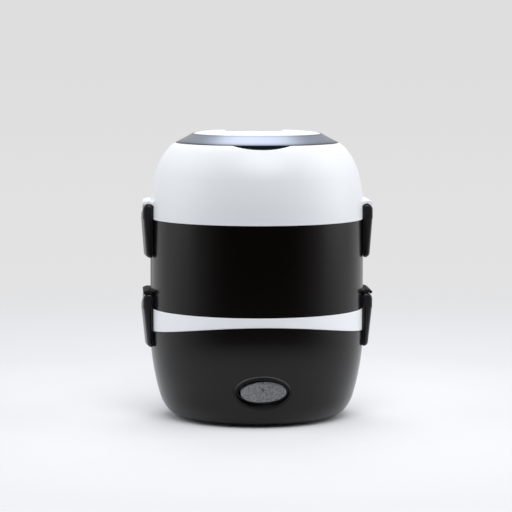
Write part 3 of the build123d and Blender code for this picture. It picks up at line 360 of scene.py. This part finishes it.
def spun(name, base, *, roughness, line_pitch, depth):
    """Metal turned on a spindle: fine rings about the upright axis."""
    finish = Finish(name, Metallic=1.0)
    place = finish.place()
    radius = distance(finish.axis(place, "X"), finish.axis(place, "Y"))
    height = finish.axis(place, "Z")
    rings = finish.node("ShaderNodeCombineXYZ", sockets={0: radius, 1: height, 2: 0.0})
    lines = finish.noise(rings, scale=1 / line_pitch, detail=3.0, roughness=0.7)
    blotches = finish.noise(place, scale=25.0, detail=3.0)
    finish.tinted(base, blotches * 0.5 + lines * 0.5, 0.12)
    finish.set("Roughness", roughness + (lines - 0.5) * 0.18 + (blotches - 0.5) * 0.06)
    finish.bump(lines, depth)
    return finish


def cast(name, base, *, roughness, grain_pitch, depth):
    """Cast or stamped metal with a dull, grainy face."""
    finish = Finish(name, Metallic=1.0)
    place = finish.place()
    grain = finish.noise(place, scale=1 / grain_pitch, detail=4.0, roughness=0.65)
    patches = finish.noise(place, scale=90.0, detail=2.0)
    finish.tinted(base, grain, 0.15)
    finish.set("Roughness", roughness + (patches - 0.5) * 0.2)
    finish.bump(grain, depth)
    return finish


# -------- Mesh helpers --------


def add_object(name, mesh, finish):
    obj = bpy.data.objects.new(name, mesh)
    bpy.context.scene.collection.objects.link(obj)
    if finish is not None:
        mesh.materials.clear()
        mesh.materials.append(finish.material)
    return obj


def mesh_of(name, build):
    """A mesh filled by build(bm), with its doubles merged and its faces turned outwards."""
    bm = bmesh.new()
    build(bm)
    bmesh.ops.remove_doubles(bm, verts=bm.verts, dist=1e-7)
    bmesh.ops.recalc_face_normals(bm, faces=bm.faces)
    mesh = bpy.data.meshes.new(name)
    bm.to_mesh(mesh)
    bm.free()
    return mesh


def circle(bm, radius, height, sides):
    """A closed loop of vertices about the upright axis."""
    turns = (2 * math.pi * step / sides for step in range(sides))
    return [bm.verts.new((radius * math.cos(turn), radius * math.sin(turn), height)) for turn in turns]


def bridge(bm, loops):
    """Joins each closed loop of vertices to the next one with a band of faces."""
    for first, second in zip(loops, loops[1:]):
        for k in range(len(first)):
            after = (k + 1) % len(first)
            bm.faces.new((first[k], first[after], second[after], second[k]))


def line(start, end, steps):
    """Points in equal steps up to end, without start itself."""
    shares = [step / steps for step in range(1, steps + 1)]
    return [tuple(a + (b - a) * part for a, b in zip(start, end)) for part in shares]


def bend(start, corner, end, steps):
    """Points round the inside of a corner up to end, without start itself."""
    towards = line(start, corner, steps)
    away = line(corner, end, steps)
    return [line(first, second, steps)[k] for k, (first, second) in enumerate(zip(towards, away))]


def drawn_in(outline, inset):
    """A closed outline with each point moved inwards, square to the line between its neighbours."""
    moved = []
    for k, (across, height) in enumerate(outline):
        before, after = outline[k - 1], outline[(k + 1) % len(outline)]
        run, rise = after[0] - before[0], after[1] - before[1]
        chord = math.hypot(run, rise)
        moved.append((across + inset * rise / chord, height - inset * run / chord))
    return moved


# -------- Casing --------


class CasingOperator(Operator):
    """Finishes the white lid, crown and collar and the black middle tier and base"""

    bl_idname = "lunch_box.casing"
    bl_label = "Casing"

    def execute(self, context):
        chosen = settings(context, "lunch_casing")
        white = moulded(
            "white_shell", chosen.white, roughness=0.33, spread=0.05,
            pitch=0.0022, depth=chosen.orange_peel, tint=0.012,
        )
        dress(white, "lid_shell", "crown_cap", "base_collar")
        black = moulded(
            "black_shell", chosen.black, roughness=chosen.black_roughness, spread=0.04,
            pitch=chosen.spark_pitch, depth=chosen.spark_depth, tint=chosen.black_mottling,
            Specular_IOR_Level=chosen.black_specular,
        )
        dress(black, "base_shell")
        dress(self.hooded_finish(chosen), "middle_shell")
        cover = moulded(
            "underside", chosen.cover, roughness=0.55, spread=0.08,
            pitch=0.0005, depth=0.00002, tint=0.12,
        )
        dress(cover, "bottom_cover")
        foot = moulded(
            "foot_rubber", chosen.feet, roughness=0.72, spread=0.10,
            pitch=0.0006, depth=0.00003, tint=0.2,
        )
        dress(foot, "rubber_feet")
        return {"FINISHED"}

    @staticmethod
    def hooded_finish(chosen):
        """The black of the walls, but dull on the hoods, which stand outside them."""
        black = Finish("black_shell_with_hoods", Specular_IOR_Level=chosen.black_specular)
        place = black.place()
        black.mottled(place, chosen.black, chosen.black_mottling)
        black.grained(place, chosen.spark_pitch, chosen.spark_depth)
        across = abs(black.axis(place, "X"))
        outside = black.between(across, chosen.hood_start, chosen.hood_start + chosen.hood_blend)
        duller = chosen.hood_roughness - chosen.black_roughness
        black.set("Roughness", chosen.black_roughness + outside * duller)
        return black


class HandleOperator(Operator):
    """Finishes the folding ring handle, its fixed rear half and the pins"""

    bl_idname = "lunch_box.handle"
    bl_label = "Ring handle"

    def execute(self, context):
        chosen = settings(context, "lunch_handle")
        dress(self.ring_finish(chosen), "handle", "rear_trim")
        steel = cast("pin_steel", chosen.pins, roughness=0.28, grain_pitch=0.0004, depth=0.000008)
        dress(steel, "handle_pins", "upper_latch_pins", "lower_latch_pins", "crown_screws", "fuse_clip")
        return {"FINISHED"}

    @staticmethod
    def ring_finish(chosen):
        """Metallic lacquer with painted shade: a dark painted shadow line along the ring's lower edge,
        and its top painted a little darker, as the shading of a rounded face.
        """
        ring = Finish("ring_satin", Metallic=1.0)
        place = ring.place()
        ring.uneven_gloss(place, roughness=0.36, spread=0.04)
        ring.grained(place, pitch=0.003, depth=0.000004)
        low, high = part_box("rear_trim")
        up = (ring.axis(place, "Z") - low.z) / (high.z - low.z)
        # Painted shade by height: a dark painted shadow line at the lower edge and a little painted
        # darkening at the top.
        painted_shade_stops = [(0.29, 0.10), (0.34, 0.35), (0.42, 0.86), (0.55, 1.0), (0.86, 1.0), (0.99, 0.72)]
        ring.set("Base Color", ring.multiplied(chosen.satin, ring.ramp(up, painted_shade_stops)))
        return ring


class LatchesOperator(Operator):
    """Finishes the four snap latches and makes their shoulders and soft ends"""

    bl_idname = "lunch_box.latches"
    bl_label = "Snap latches"

    # (Beyond the plate's end, drawn in from its outline), from a cheek's inner ring to its outer one.
    CHEEK_RINGS = (
        (-0.0013, 0.00006),
        (-0.0006, 0.00022),
        (-0.0001, 0.00050),
        (0.0003, 0.00095),
        (0.00055, 0.0016),
        (0.00065, 0.0023),
    )
    # (Height over the plate's top edge, depth behind its face), where the shoulder meets the plate.
    SHOULDER_FOOT = ((-0.0012, 0.00020), (-0.0007, 0.00006))
    # (Share of the shoulder's rise, depth behind the plate's face), from the plate up to the head.
    SHOULDER_FACE = (
        (0.0, 0.00001),
        (0.24, 0.00003),
        (0.48, 0.00016),
        (0.68, 0.00042),
        (0.84, 0.00080),
        (0.94, 0.00120),
        (0.99, 0.00165),
        (1.0, 0.00210),
    )

    def execute(self, context):
        chosen = settings(context, "lunch_latches")
        satin = moulded(
            "latch_satin", chosen.satin, roughness=0.30, spread=0.06,
            pitch=0.0012, depth=0.000008, tint=0.12, Specular_IOR_Level=0.45,
        )
        for latch in ("left_upper_latch", "right_upper_latch", "left_lower_latch", "right_lower_latch"):
            dress(satin, latch)
            added = {
                f"{latch}_shoulder": self.shoulder_mesh(chosen, latch),
                f"{latch}_front_cheek": self.cheek_mesh(chosen, latch, -1),
                f"{latch}_back_cheek": self.cheek_mesh(chosen, latch, 1),
            }
            for name, mesh in added.items():
                piece = add_object(name, mesh, satin)
                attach(piece, latch)
        return {"FINISHED"}

    @staticmethod
    def bar_outline(chosen, latch):
        """(X, Z) points of a latch's end on the +X side: over its head, down outside and up inside."""
        low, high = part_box(latch)
        reach = max(abs(low.x), abs(high.x))
        end_inset = 0.0005
        half = max(abs(low.y), abs(high.y)) - end_inset

        def at_end(face_radius):
            """X of a face turned about the box's axis, close to the end of the latch."""
            return math.sqrt(face_radius**2 - half**2)

        # heights, from the head down to the tip
        radius = chosen.head_radius
        axis = high.z - radius
        neck_top = axis - 0.0025
        neck_middle = axis - 0.005
        plate_top = axis - chosen.plate_drop
        pocket_round = 0.0006
        pocket_foot = plate_top + 0.0018
        tip_top = low.z + 0.0033
        corner = 0.0015

        # distances from the box's axis, from the inner face out
        lean = chosen.lower_lean if "lower" in latch else 0.0
        inner_lean = 0.55 * lean
        head = reach - chosen.plate_proud - radius
        pocket = head - 0.94 * radius
        inner = at_end(chosen.wall_radius)
        inner_low = at_end(chosen.wall_radius - inner_lean)
        tip_flat = inner_low + 0.0014
        outer_low = at_end(reach - chosen.plate_taper - lean)
        outer = at_end(reach)
        neck_proud = 0.00042
        neck_middle_proud = 0.0002
        nudge = 0.0001  # how far two corners are set in from the face beside them

        points = [(pocket - nudge, axis)]
        round_steps = 12
        for step in range(1, round_steps + 1):
            angle = math.pi * (1 - step / round_steps)
            points.append((head + radius * math.cos(angle), axis + radius * math.sin(angle)))
        points += [(outer + neck_proud, neck_top), (outer + neck_middle_proud, neck_middle)]
        points += [(outer, plate_top), *line((outer, plate_top), (outer_low, tip_top), 5)]
        points += bend((outer_low, tip_top), (outer_low, low.z), (tip_flat, low.z), 4)
        points += [(inner_low + 0.0004, low.z + 0.0005), (inner_low, low.z + corner)]
        points += line((inner_low, low.z + corner), (inner, plate_top - corner), 4)
        points += [(inner - nudge, plate_top - pocket_round)]
        points += [((inner + pocket) / 2, plate_top + pocket_round)]
        points += [(pocket, pocket_foot), (pocket, neck_top)]
        return points

    @classmethod
    def cheek_mesh(cls, chosen, latch, end):
        """The softly rounded end of a latch: its outline drawn in ring by ring towards the end."""
        low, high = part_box(latch)
        side = 1 if high.x > 0 else -1
        half = max(abs(low.y), abs(high.y))
        outline = cls.bar_outline(chosen, latch)

        def build(bm):
            loops = []
            for beyond, inset in cls.CHEEK_RINGS:
                along = end * (half + beyond)
                ring = drawn_in(outline, inset)
                loops.append([bm.verts.new((side * across, along, height)) for across, height in ring])
            bridge(bm, loops)
            caps = [bm.faces.new(loops[0]), bm.faces.new(loops[-1])]
            bmesh.ops.triangulate(bm, faces=caps)
            for face in bm.faces:
                face.smooth = True

        return mesh_of(f"{latch}_cheek", build)

    @classmethod
    def shoulder_mesh(cls, chosen, latch):
        """The shoulder that carries the plate's curved face up to the round head."""
        low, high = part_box(latch)
        side = 1 if high.x > 0 else -1
        reach = max(abs(low.x), abs(high.x))
        thickness = 0.00215
        back = reach - thickness
        base = high.z - chosen.head_radius - chosen.plate_drop
        steps = 48
        profile = list(cls.SHOULDER_FOOT)
        profile += [(part * chosen.shoulder_rise, inset) for part, inset in cls.SHOULDER_FACE]

        def section(along):
            """(Radius, Z) points of the shoulder, which is drawn in towards the rounded ends."""
            to_end = min(along - low.y, high.y - along, chosen.end_round) / chosen.end_round
            behind = chosen.end_round * (1 - math.sqrt(1 - (1 - to_end) ** 2))
            face = [(max(reach - inset - behind, back), base + height) for height, inset in profile]
            return [(back, face[0][1]), *face, (back, face[-1][1])]

        def build(bm):
            loops = []
            for step in range(steps + 1):
                along = low.y + (high.y - low.y) * (0.5 - 0.5 * math.cos(math.pi * step / steps))
                loop = []
                for radius, height in section(along):
                    loop.append(bm.verts.new((side * math.sqrt(radius**2 - along**2), along, height)))
                loops.append(loop)
            bridge(bm, loops)
            bm.faces.new(loops[0])
            bm.faces.new(loops[-1])

        return mesh_of(f"{latch}_shoulder", build)


class SwitchOperator(Operator):
    """Finishes the oval bezel, the housing and the pebbled rocker"""

    bl_idname = "lunch_box.switch"
    bl_label = "Rocker switch"

    def execute(self, context):
        chosen = settings(context, "lunch_switch")
        dress(self.bezel_finish(chosen), "switch_bezel")
        dress(self.rocker_finish(chosen), "switch_rocker")
        insulator = moulded(
            "insulator", chosen.insulator, roughness=0.40, spread=0.1,
            pitch=0.0008, depth=0.00001, tint=0.15,
        )
        dress(insulator, "switch_housing", "inlet_socket")
        brass = cast("contact_brass", chosen.brass, roughness=0.30, grain_pitch=0.0005, depth=0.000008)
        dress(brass, "switch_terminals", "inlet_pins", "thermal_fuse")
        return {"FINISHED"}

    @staticmethod
    def bezel_finish(chosen):
        """Black, with a painted highlight: the rim is paler in its upper half, where its rounded lip
        would catch the light.
        """
        bezel = Finish("bezel_black", Specular_IOR_Level=0.2)
        place = bezel.place()
        bezel.uneven_gloss(place, roughness=0.30, spread=0.05)
        bezel.grained(place, pitch=0.0012, depth=0.000006)
        across = bezel.axis(place, "X") / chosen.rim_half_width
        above = (bezel.axis(place, "Z") - chosen.rim_centre) / chosen.rim_half_height
        rim_edge = (0.925, 0.965)
        upper_half = (-0.1, 0.9)
        # Painted highlight: a pale band on the rim's upper half, where the rounded lip would catch the
        # light.
        painted_highlight = bezel.between(distance(across, above), *rim_edge) * bezel.between(above, *upper_half)
        bezel.set("Base Color", bezel.mixed(painted_highlight, chosen.bezel, chosen.rim))
        return bezel

    @staticmethod
    def rocker_finish(chosen):
        """Smoky and pebbled, with a dark dot in the middle and a dark tick at the upper edge."""
        lens = Finish("rocker_lens", Transmission_Weight=0.25, IOR=1.49, Specular_IOR_Level=0.6)
        place = lens.place()
        low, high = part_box("switch_rocker")
        across = lens.axis(place, "X") - (low.x + high.x) / 2
        above = lens.axis(place, "Z") - (low.z + high.z) / 2
        off_dot = lens.between(distance(across, above), chosen.dot_radius * 0.7, chosen.dot_radius)
        beside_tick = lens.between(abs(across), chosen.tick_width * 0.4, chosen.tick_width * 0.6)
        tick_ends = (chosen.tick_foot - chosen.tick_blur, chosen.tick_foot + chosen.tick_blur)
        below_tick = 1 - lens.between(above, *tick_ends)
        unmarked = off_dot * (beside_tick + below_tick).clamped()
        pebbles = lens.cells(place, scale=1 / chosen.facet_pitch)
        specks = lens.noise(place, scale=900.0, detail=3.0)
        grain = lens.between(pebbles * 0.7 + specks * 0.3, 0.2, 0.65)
        darkest, lightest, bare = 0.2, 1.8, 0.35
        dark = tuple(channel * darkest for channel in chosen.lens)
        light = tuple(min(1.0, channel * lightest) for channel in chosen.lens)
        lens.set("Base Color", lens.mixed(unmarked * (bare + grain * (1 - bare)), dark, light))
        lens.set("Roughness", 0.20 + pebbles * 0.25)
        lens.bump(pebbles, chosen.facet_height)
        return lens


class InsideOperator(Operator):
    """Finishes the heating pan and plate, the liners, gaskets, tray and bowls"""

    bl_idname = "lunch_box.inside"
    bl_label = "Inside"

    def execute(self, context):
        chosen = settings(context, "lunch_inside")
        steel = spun("spun_steel", chosen.steel, roughness=0.26, line_pitch=0.0006, depth=0.000010)
        dress(steel, "heating_pan", "lower_bowl", "middle_bowl", "upper_bowl")
        alloy = cast("cast_alloy", chosen.alloy, roughness=0.50, grain_pitch=0.0009, depth=0.00004)
        dress(alloy, "heating_plate")
        liner = moulded(
            "white_liner", chosen.liner, roughness=0.42, spread=0.08,
            pitch=0.0009, depth=0.00001, tint=0.03,
        )
        dress(liner, "middle_liner", "lid_liner", "steam_tray")
        clear = moulded(
            "milky_lid", chosen.clear, roughness=0.34, spread=0.08,
            pitch=0.0011, depth=0.00001, tint=0.04, Transmission_Weight=0.25, IOR=1.49,
        )
        dress(clear, "lower_bowl_lid", "middle_bowl_lid", "upper_bowl_lid")
        silicone = moulded(
            "silicone", chosen.silicone, roughness=0.55, spread=0.08,
            pitch=0.0007, depth=0.00001, tint=0.04, Subsurface_Weight=0.2,
        )
        dress(silicone, "middle_gasket", "lid_gasket")
        ceramic = moulded(
            "thermostat_body", chosen.ceramic, roughness=0.55, spread=0.1,
            pitch=0.0006, depth=0.00001, tint=0.06,
        )
        dress(ceramic, "thermostat")
        return {"FINISHED"}


# -------- Screws --------


class ScrewsOperator(Operator):
    """Makes the cross-recessed screws round the bottom cover"""

    bl_idname = "lunch_box.screws"
    bl_label = "Bottom screws"

    def execute(self, context):
        chosen = settings(context, "lunch_fasteners")
        steel = cast("screw_steel", chosen.steel, roughness=0.32, grain_pitch=0.0004, depth=0.000006)
        screw = add_object("one_screw", self.screw_mesh(chosen), steel)
        tree = self.circle_tree(screw, steel.material)
        carrier = add_object("screw_circle", bpy.data.meshes.new("screw_circle"), None)
        modifier = carrier.modifiers.new("circle", "NODES")
        modifier.node_group = tree
        for name, value in (
            ("Screws", chosen.number),
            ("Circle radius", chosen.circle_radius),
            ("Height", chosen.height),
        ):
            modifier[tree.interface.items_tree[name].identifier] = value
        evaluated = carrier.evaluated_get(context.evaluated_depsgraph_get())
        mesh = bpy.data.meshes.new_from_object(evaluated)
        mesh.name = "bottom_screw_heads"
        bpy.data.objects.remove(carrier)
        bpy.data.objects.remove(screw)
        made = add_object("bottom_screw_heads", mesh, steel)
        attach(made, "base")
        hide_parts("bottom_screws")
        return {"FINISHED"}

    @staticmethod
    def circle_tree(screw, material):
        """One screw at each point of a circle, at a height."""
        tree = bpy.data.node_groups.new("screws_on_a_circle", "GeometryNodeTree")
        for name, way, kind in (
            ("Geometry", "INPUT", "Geometry"),
            ("Screws", "INPUT", "Int"),
            ("Circle radius", "INPUT", "Float"),
            ("Height", "INPUT", "Float"),
            ("Geometry", "OUTPUT", "Geometry"),
        ):
            tree.interface.new_socket(name, in_out=way, socket_type=f"NodeSocket{kind}")
        group = Shading(tree)
        given = tree.nodes.new("NodeGroupInput").outputs
        number, radius, height = (
            Value(group, given[name]) for name in ("Screws", "Circle radius", "Height")
        )
        stands = group.node("GeometryNodeMeshCircle", sockets={"Vertices": number, "Radius": radius})
        one = group.node("GeometryNodeObjectInfo", sockets={"Object": screw}, output="Geometry")
        placed = group.node("GeometryNodeInstanceOnPoints", sockets={"Points": stands, "Instance": one})
        lift = group.node("ShaderNodeCombineXYZ", sockets={2: height})
        lifted = group.node("GeometryNodeTransform", sockets={"Geometry": placed, "Translation": lift})
        solid = group.node("GeometryNodeRealizeInstances", sockets={"Geometry": lifted})
        sockets = {"Geometry": solid, "Material": material}
        finished = group.node("GeometryNodeSetMaterial", sockets=sockets)
        output = tree.nodes.new("NodeGroupOutput")
        tree.links.new(finished.socket, output.inputs["Geometry"])
        return tree

    @staticmethod
    def screw_mesh(chosen):
        """A pan head with a cross recess, its face on Z = 0 and its shank above, as in the cover."""
        recess_depth = chosen.head_height * 0.55
        round_over = chosen.head_height * 0.3
        half_long = chosen.slot_length / 2
        half_wide = chosen.slot_width / 2
        sides = 48
        profile = (
            (chosen.head_radius - round_over, 0.0),
            (chosen.head_radius - round_over * 0.3, round_over * 0.3),
            (chosen.head_radius, round_over),
            (chosen.head_radius, chosen.head_height),
            (chosen.shank_radius, chosen.head_height),
            (chosen.shank_radius, chosen.head_height + chosen.shank_length * 0.9),
            (chosen.shank_radius * 0.5, chosen.head_height + chosen.shank_length),
        )
        cross = []
        for turn in range(4):
            cos, sin = math.cos(turn * math.pi / 2), math.sin(turn * math.pi / 2)
            for x, y in ((half_long, -half_wide), (half_long, half_wide), (half_wide, half_wide)):
                cross.append((x * cos - y * sin, x * sin + y * cos))

        def build(bm):
            rings = [circle(bm, radius, height, sides) for radius, height in profile]
            bridge(bm, rings)
            bm.faces.new(rings[-1])
            mouth = [bm.verts.new((x, y, 0.0)) for x, y in cross]
            bottom = [bm.verts.new((x * 0.8, y * 0.8, recess_depth)) for x, y in cross]
            bridge(bm, (mouth, bottom))
            bm.faces.new(bottom)
            edges = []
            for loop in (rings[0], mouth):
                for k, vert in enumerate(loop):
                    edges.append(bm.edges.get((vert, loop[(k + 1) % len(loop)])))
            bmesh.ops.triangle_fill(bm, use_beauty=True, use_dissolve=False, edges=edges)

        return mesh_of("one_screw", build)


# -------- Stage --------

WHITE = (1.0, 1.0, 1.0)


class StageOperator(Operator):
    """Makes the pale floor, the backdrop, the soft lamps and the camera"""

    bl_idname = "lunch_box.stage"
    bl_label = "Studio"

    # Distances from the axis over which the floor, as the box mirrors it, is painted with shade in the
    # studio's greys, and over which lamplight on it gives way to its own glow.
    STUDIO_EDGE = (0.22, 0.5)
    GLOW_EDGE = (0.3, 1.1)
    # Sines of the slopes at which the ceiling begins and is full, and at which the backdrop ends.
    CEILING_EDGE = (0.45, 0.75)
    BACKDROP_TOP = 0.25

    def execute(self, context):
        chosen = settings(context, "lunch_stage")
        floor = add_object("floor", self.floor_mesh(chosen), self.floor_finish(chosen))
        self.light_room(context, chosen)
        self.add_lamps(chosen)
        self.add_camera(context)
        return {"FINISHED"}

    @staticmethod
    def floor_mesh(chosen):
        """A wide disc in rings, finer near the box."""
        radii = (chosen.floor_radius, 8.0, 4.5, 2.6, 1.6, 1.0, 0.6, 0.3)

        def build(bm):
            rings = [circle(bm, radius, height=0.0, sides=96) for radius in radii]
            bridge(bm, rings)
            bm.faces.new(rings[-1])

        return mesh_of("floor", build)

    def floor_finish(self, chosen):
        """A lit floor with painted light and shade in its colour, which turns into a glow of the
        backdrop's colour with distance.
        """
        finish = Finish("floor", Roughness=0.7, Specular_IOR_Level=0.1)
        place = finish.place()
        along = finish.axis(place, "Y")
        radius = distance(finish.axis(place, "X"), along)
        above_zero = 0.001
        # Painted shade: beyond STUDIO_EDGE the floor is darker towards the camera, in what the box
        # mirrors and in light bounced off it; camera rays see it unshaded.
        unlit = self.unlit_end(finish, along / (radius + above_zero))
        mirrored = finish.mixed(finish.between(radius, *self.STUDIO_EDGE), WHITE, unlit)
        shade = finish.mixed(self.ray(finish, "Camera"), mirrored, WHITE)
        # Painted light: the floor's colour is brighter close to the box and darker further off.
        near = finish.ramp(
            radius,
            [(0.085, 0.97), (0.12, 0.91), (0.18, 0.84), (0.25, 0.79), (0.38, 0.735), (0.6, 0.735)],
        )
        finish.set("Base Color", finish.multiplied(finish.multiplied(chosen.floor, near), shade))
        far = finish.ramp(
            radius / chosen.floor_radius,
            [
                (0.0, (0.83, 0.84, 0.86)),
                (0.035, (0.785, 0.787, 0.797)),
                (0.06, (0.772, 0.772, 0.78)),
                (0.12, (0.76, 0.758, 0.764)),
                (0.4, (0.742, 0.74, 0.744)),
                (1.0, chosen.horizon),
            ],
        )
        glow = finish.node(
            "ShaderNodeEmission", sockets={"Color": finish.multiplied(far, shade), "Strength": 1.0}
        )
        lit = Value(finish, finish.shader.outputs[0])
        far_off = finish.between(radius, *self.GLOW_EDGE)
        mix = finish.node("ShaderNodeMixShader", sockets={0: far_off, 1: lit, 2: glow})
        output = finish.tree.nodes["Material Output"]
        finish.tree.links.new(mix.socket, output.inputs["Surface"])
        return finish

    @staticmethod
    def ray(shading, kind):
        """1 for rays of one kind and 0 for all others."""
        return shading.node("ShaderNodeLightPath", output=f"Is {kind} Ray")

    @staticmethod
    def unlit_end(shading, facing):
        """Grey of the studio by direction: facing is -1 towards the camera, where the room is unlit."""
        return shading.ramp(
            facing * 0.5 + 0.5,
            [(0.0, 0.01), (0.08, 0.02), (0.16, 0.12), (0.26, 0.40), (0.42, 0.78), (0.6, 1.0)],
        )

    def light_room(self, context, chosen):
        """A pale room with a bright ceiling, unlit behind the camera, and the backdrop's colour."""
        world = bpy.data.worlds.new("room")
        context.scene.world = world
        world.use_nodes = True
        world.node_tree.nodes.clear()
        room = Shading(world.node_tree)
        towards = room.node("ShaderNodeTexCoord", output="Generated")
        height = room.axis(towards, "Z")
        unlit = self.unlit_end(room, room.axis(towards, "Y"))
        shade = room.mixed(room.between(height, *self.CEILING_EDGE), unlit, WHITE)
        light = room.node("ShaderNodeBackground", sockets={"Color": shade, "Strength": chosen.fill})
        camera, glossy, through = (self.ray(room, kind) for kind in ("Camera", "Glossy", "Transmission"))
        backdrop = room.ramp(height / self.BACKDROP_TOP, [(0.0, chosen.horizon), (1.0, chosen.top)])
        mirrored = room.multiplied(backdrop, shade)
        colour_seen = room.mixed(camera, mirrored, backdrop)
        seen = room.node("ShaderNodeBackground", sockets={"Color": colour_seen})
        shown = (camera + glossy + through).clamped()
        mix = room.node("ShaderNodeMixShader", sockets={0: shown, 1: light, 2: seen})
        output = world.node_tree.nodes.new("ShaderNodeOutputWorld")
        world.node_tree.links.new(mix.socket, output.inputs["Surface"])

    def add_lamps(self, chosen):
        target = Vector((0, 0, 0.14))
        for name, place, size, power, shade in (
            ("overhead_soft_box", (0.02, 0.66, 1.3), 0.8, chosen.overhead, (0.94, 0.97, 1.0)),
            ("front_soft_box", (0.1, -1.1, 1.6), 1.4, chosen.front, (0.97, 0.985, 1.0)),
            ("right_soft_box", (2.0, -0.1, 0.9), 2.2, chosen.right, (1.0, 1.0, 1.0)),
            ("left_soft_box", (-2.0, 0.0, 0.9), 2.2, chosen.left, (0.98, 0.99, 1.0)),
        ):
            lamp = bpy.data.lights.new(name, "AREA")
            lamp.shape = "DISK"
            lamp.size = size
            lamp.energy = power
            lamp.color = shade
            holder = bpy.data.objects.new(name, lamp)
            bpy.context.scene.collection.objects.link(holder)
            holder.location = place
            holder.rotation_euler = (target - Vector(place)).to_track_quat("-Z", "Y").to_euler()

    def add_camera(self, context):
        """The photograph's view: 168 mm lens, 1.9 m away, a little above the lid."""
        azimuth = math.radians(-3.5)
        away = 1.9062
        height = 0.3080
        pitch_down = 0.0941
        roll = 0.0021
        pan = 0.00031
        camera = bpy.data.cameras.new("camera")
        camera.sensor_width = 36.0
        camera.lens = 168.17
        holder = bpy.data.objects.new("camera", camera)
        context.scene.collection.objects.link(holder)
        turn = Matrix.Rotation(azimuth + pan, 4, "Z")
        tilt = Matrix.Rotation(math.pi / 2 - pitch_down, 4, "X")
        place = Matrix.Translation((away * math.sin(azimuth), -away * math.cos(azimuth), height))
        holder.matrix_world = place @ turn @ tilt @ Matrix.Rotation(roll, 4, "Z")
        context.scene.camera = holder
        context.scene.view_settings.view_transform = "Standard"


# -------- Panel and registration --------

OPERATORS = (
    CasingOperator,
    HandleOperator,
    LatchesOperator,
    SwitchOperator,
    InsideOperator,
    ScrewsOperator,
    StageOperator,
)


class LunchBoxPanel(Panel):
    """The sizes, colours and steps of the lunch box"""

    bl_idname = "VIEW3D_PT_lunch_box"
    bl_label = "Electric lunch box"
    bl_space_type = "VIEW_3D"
    bl_region_type = "UI"
    bl_category = SIDEBAR

    def draw(self, context):
        for group in SETTINGS:
            column = self.layout.column()
            chosen = settings(context, group)
            for name in chosen.__annotations__:
                column.prop(chosen, name)
        for operator in OPERATORS:
            self.layout.operator(operator.bl_idname)


CLASSES = (*SETTINGS.values(), *OPERATORS, LunchBoxPanel)


def register():
    for each in CLASSES:
        bpy.utils.register_class(each)
    for name, group in SETTINGS.items():
        setattr(bpy.types.Scene, name, PointerProperty(type=group))


def unregister():
    for name in SETTINGS:
        delattr(bpy.types.Scene, name)
    for each in reversed(CLASSES):
        bpy.utils.unregister_class(each)


def main():
    register()
    for operator in OPERATORS:
        group, step = operator.bl_idname.split(".")
        getattr(getattr(bpy.ops, group), step)()


if __name__ == "__main__":
    main()
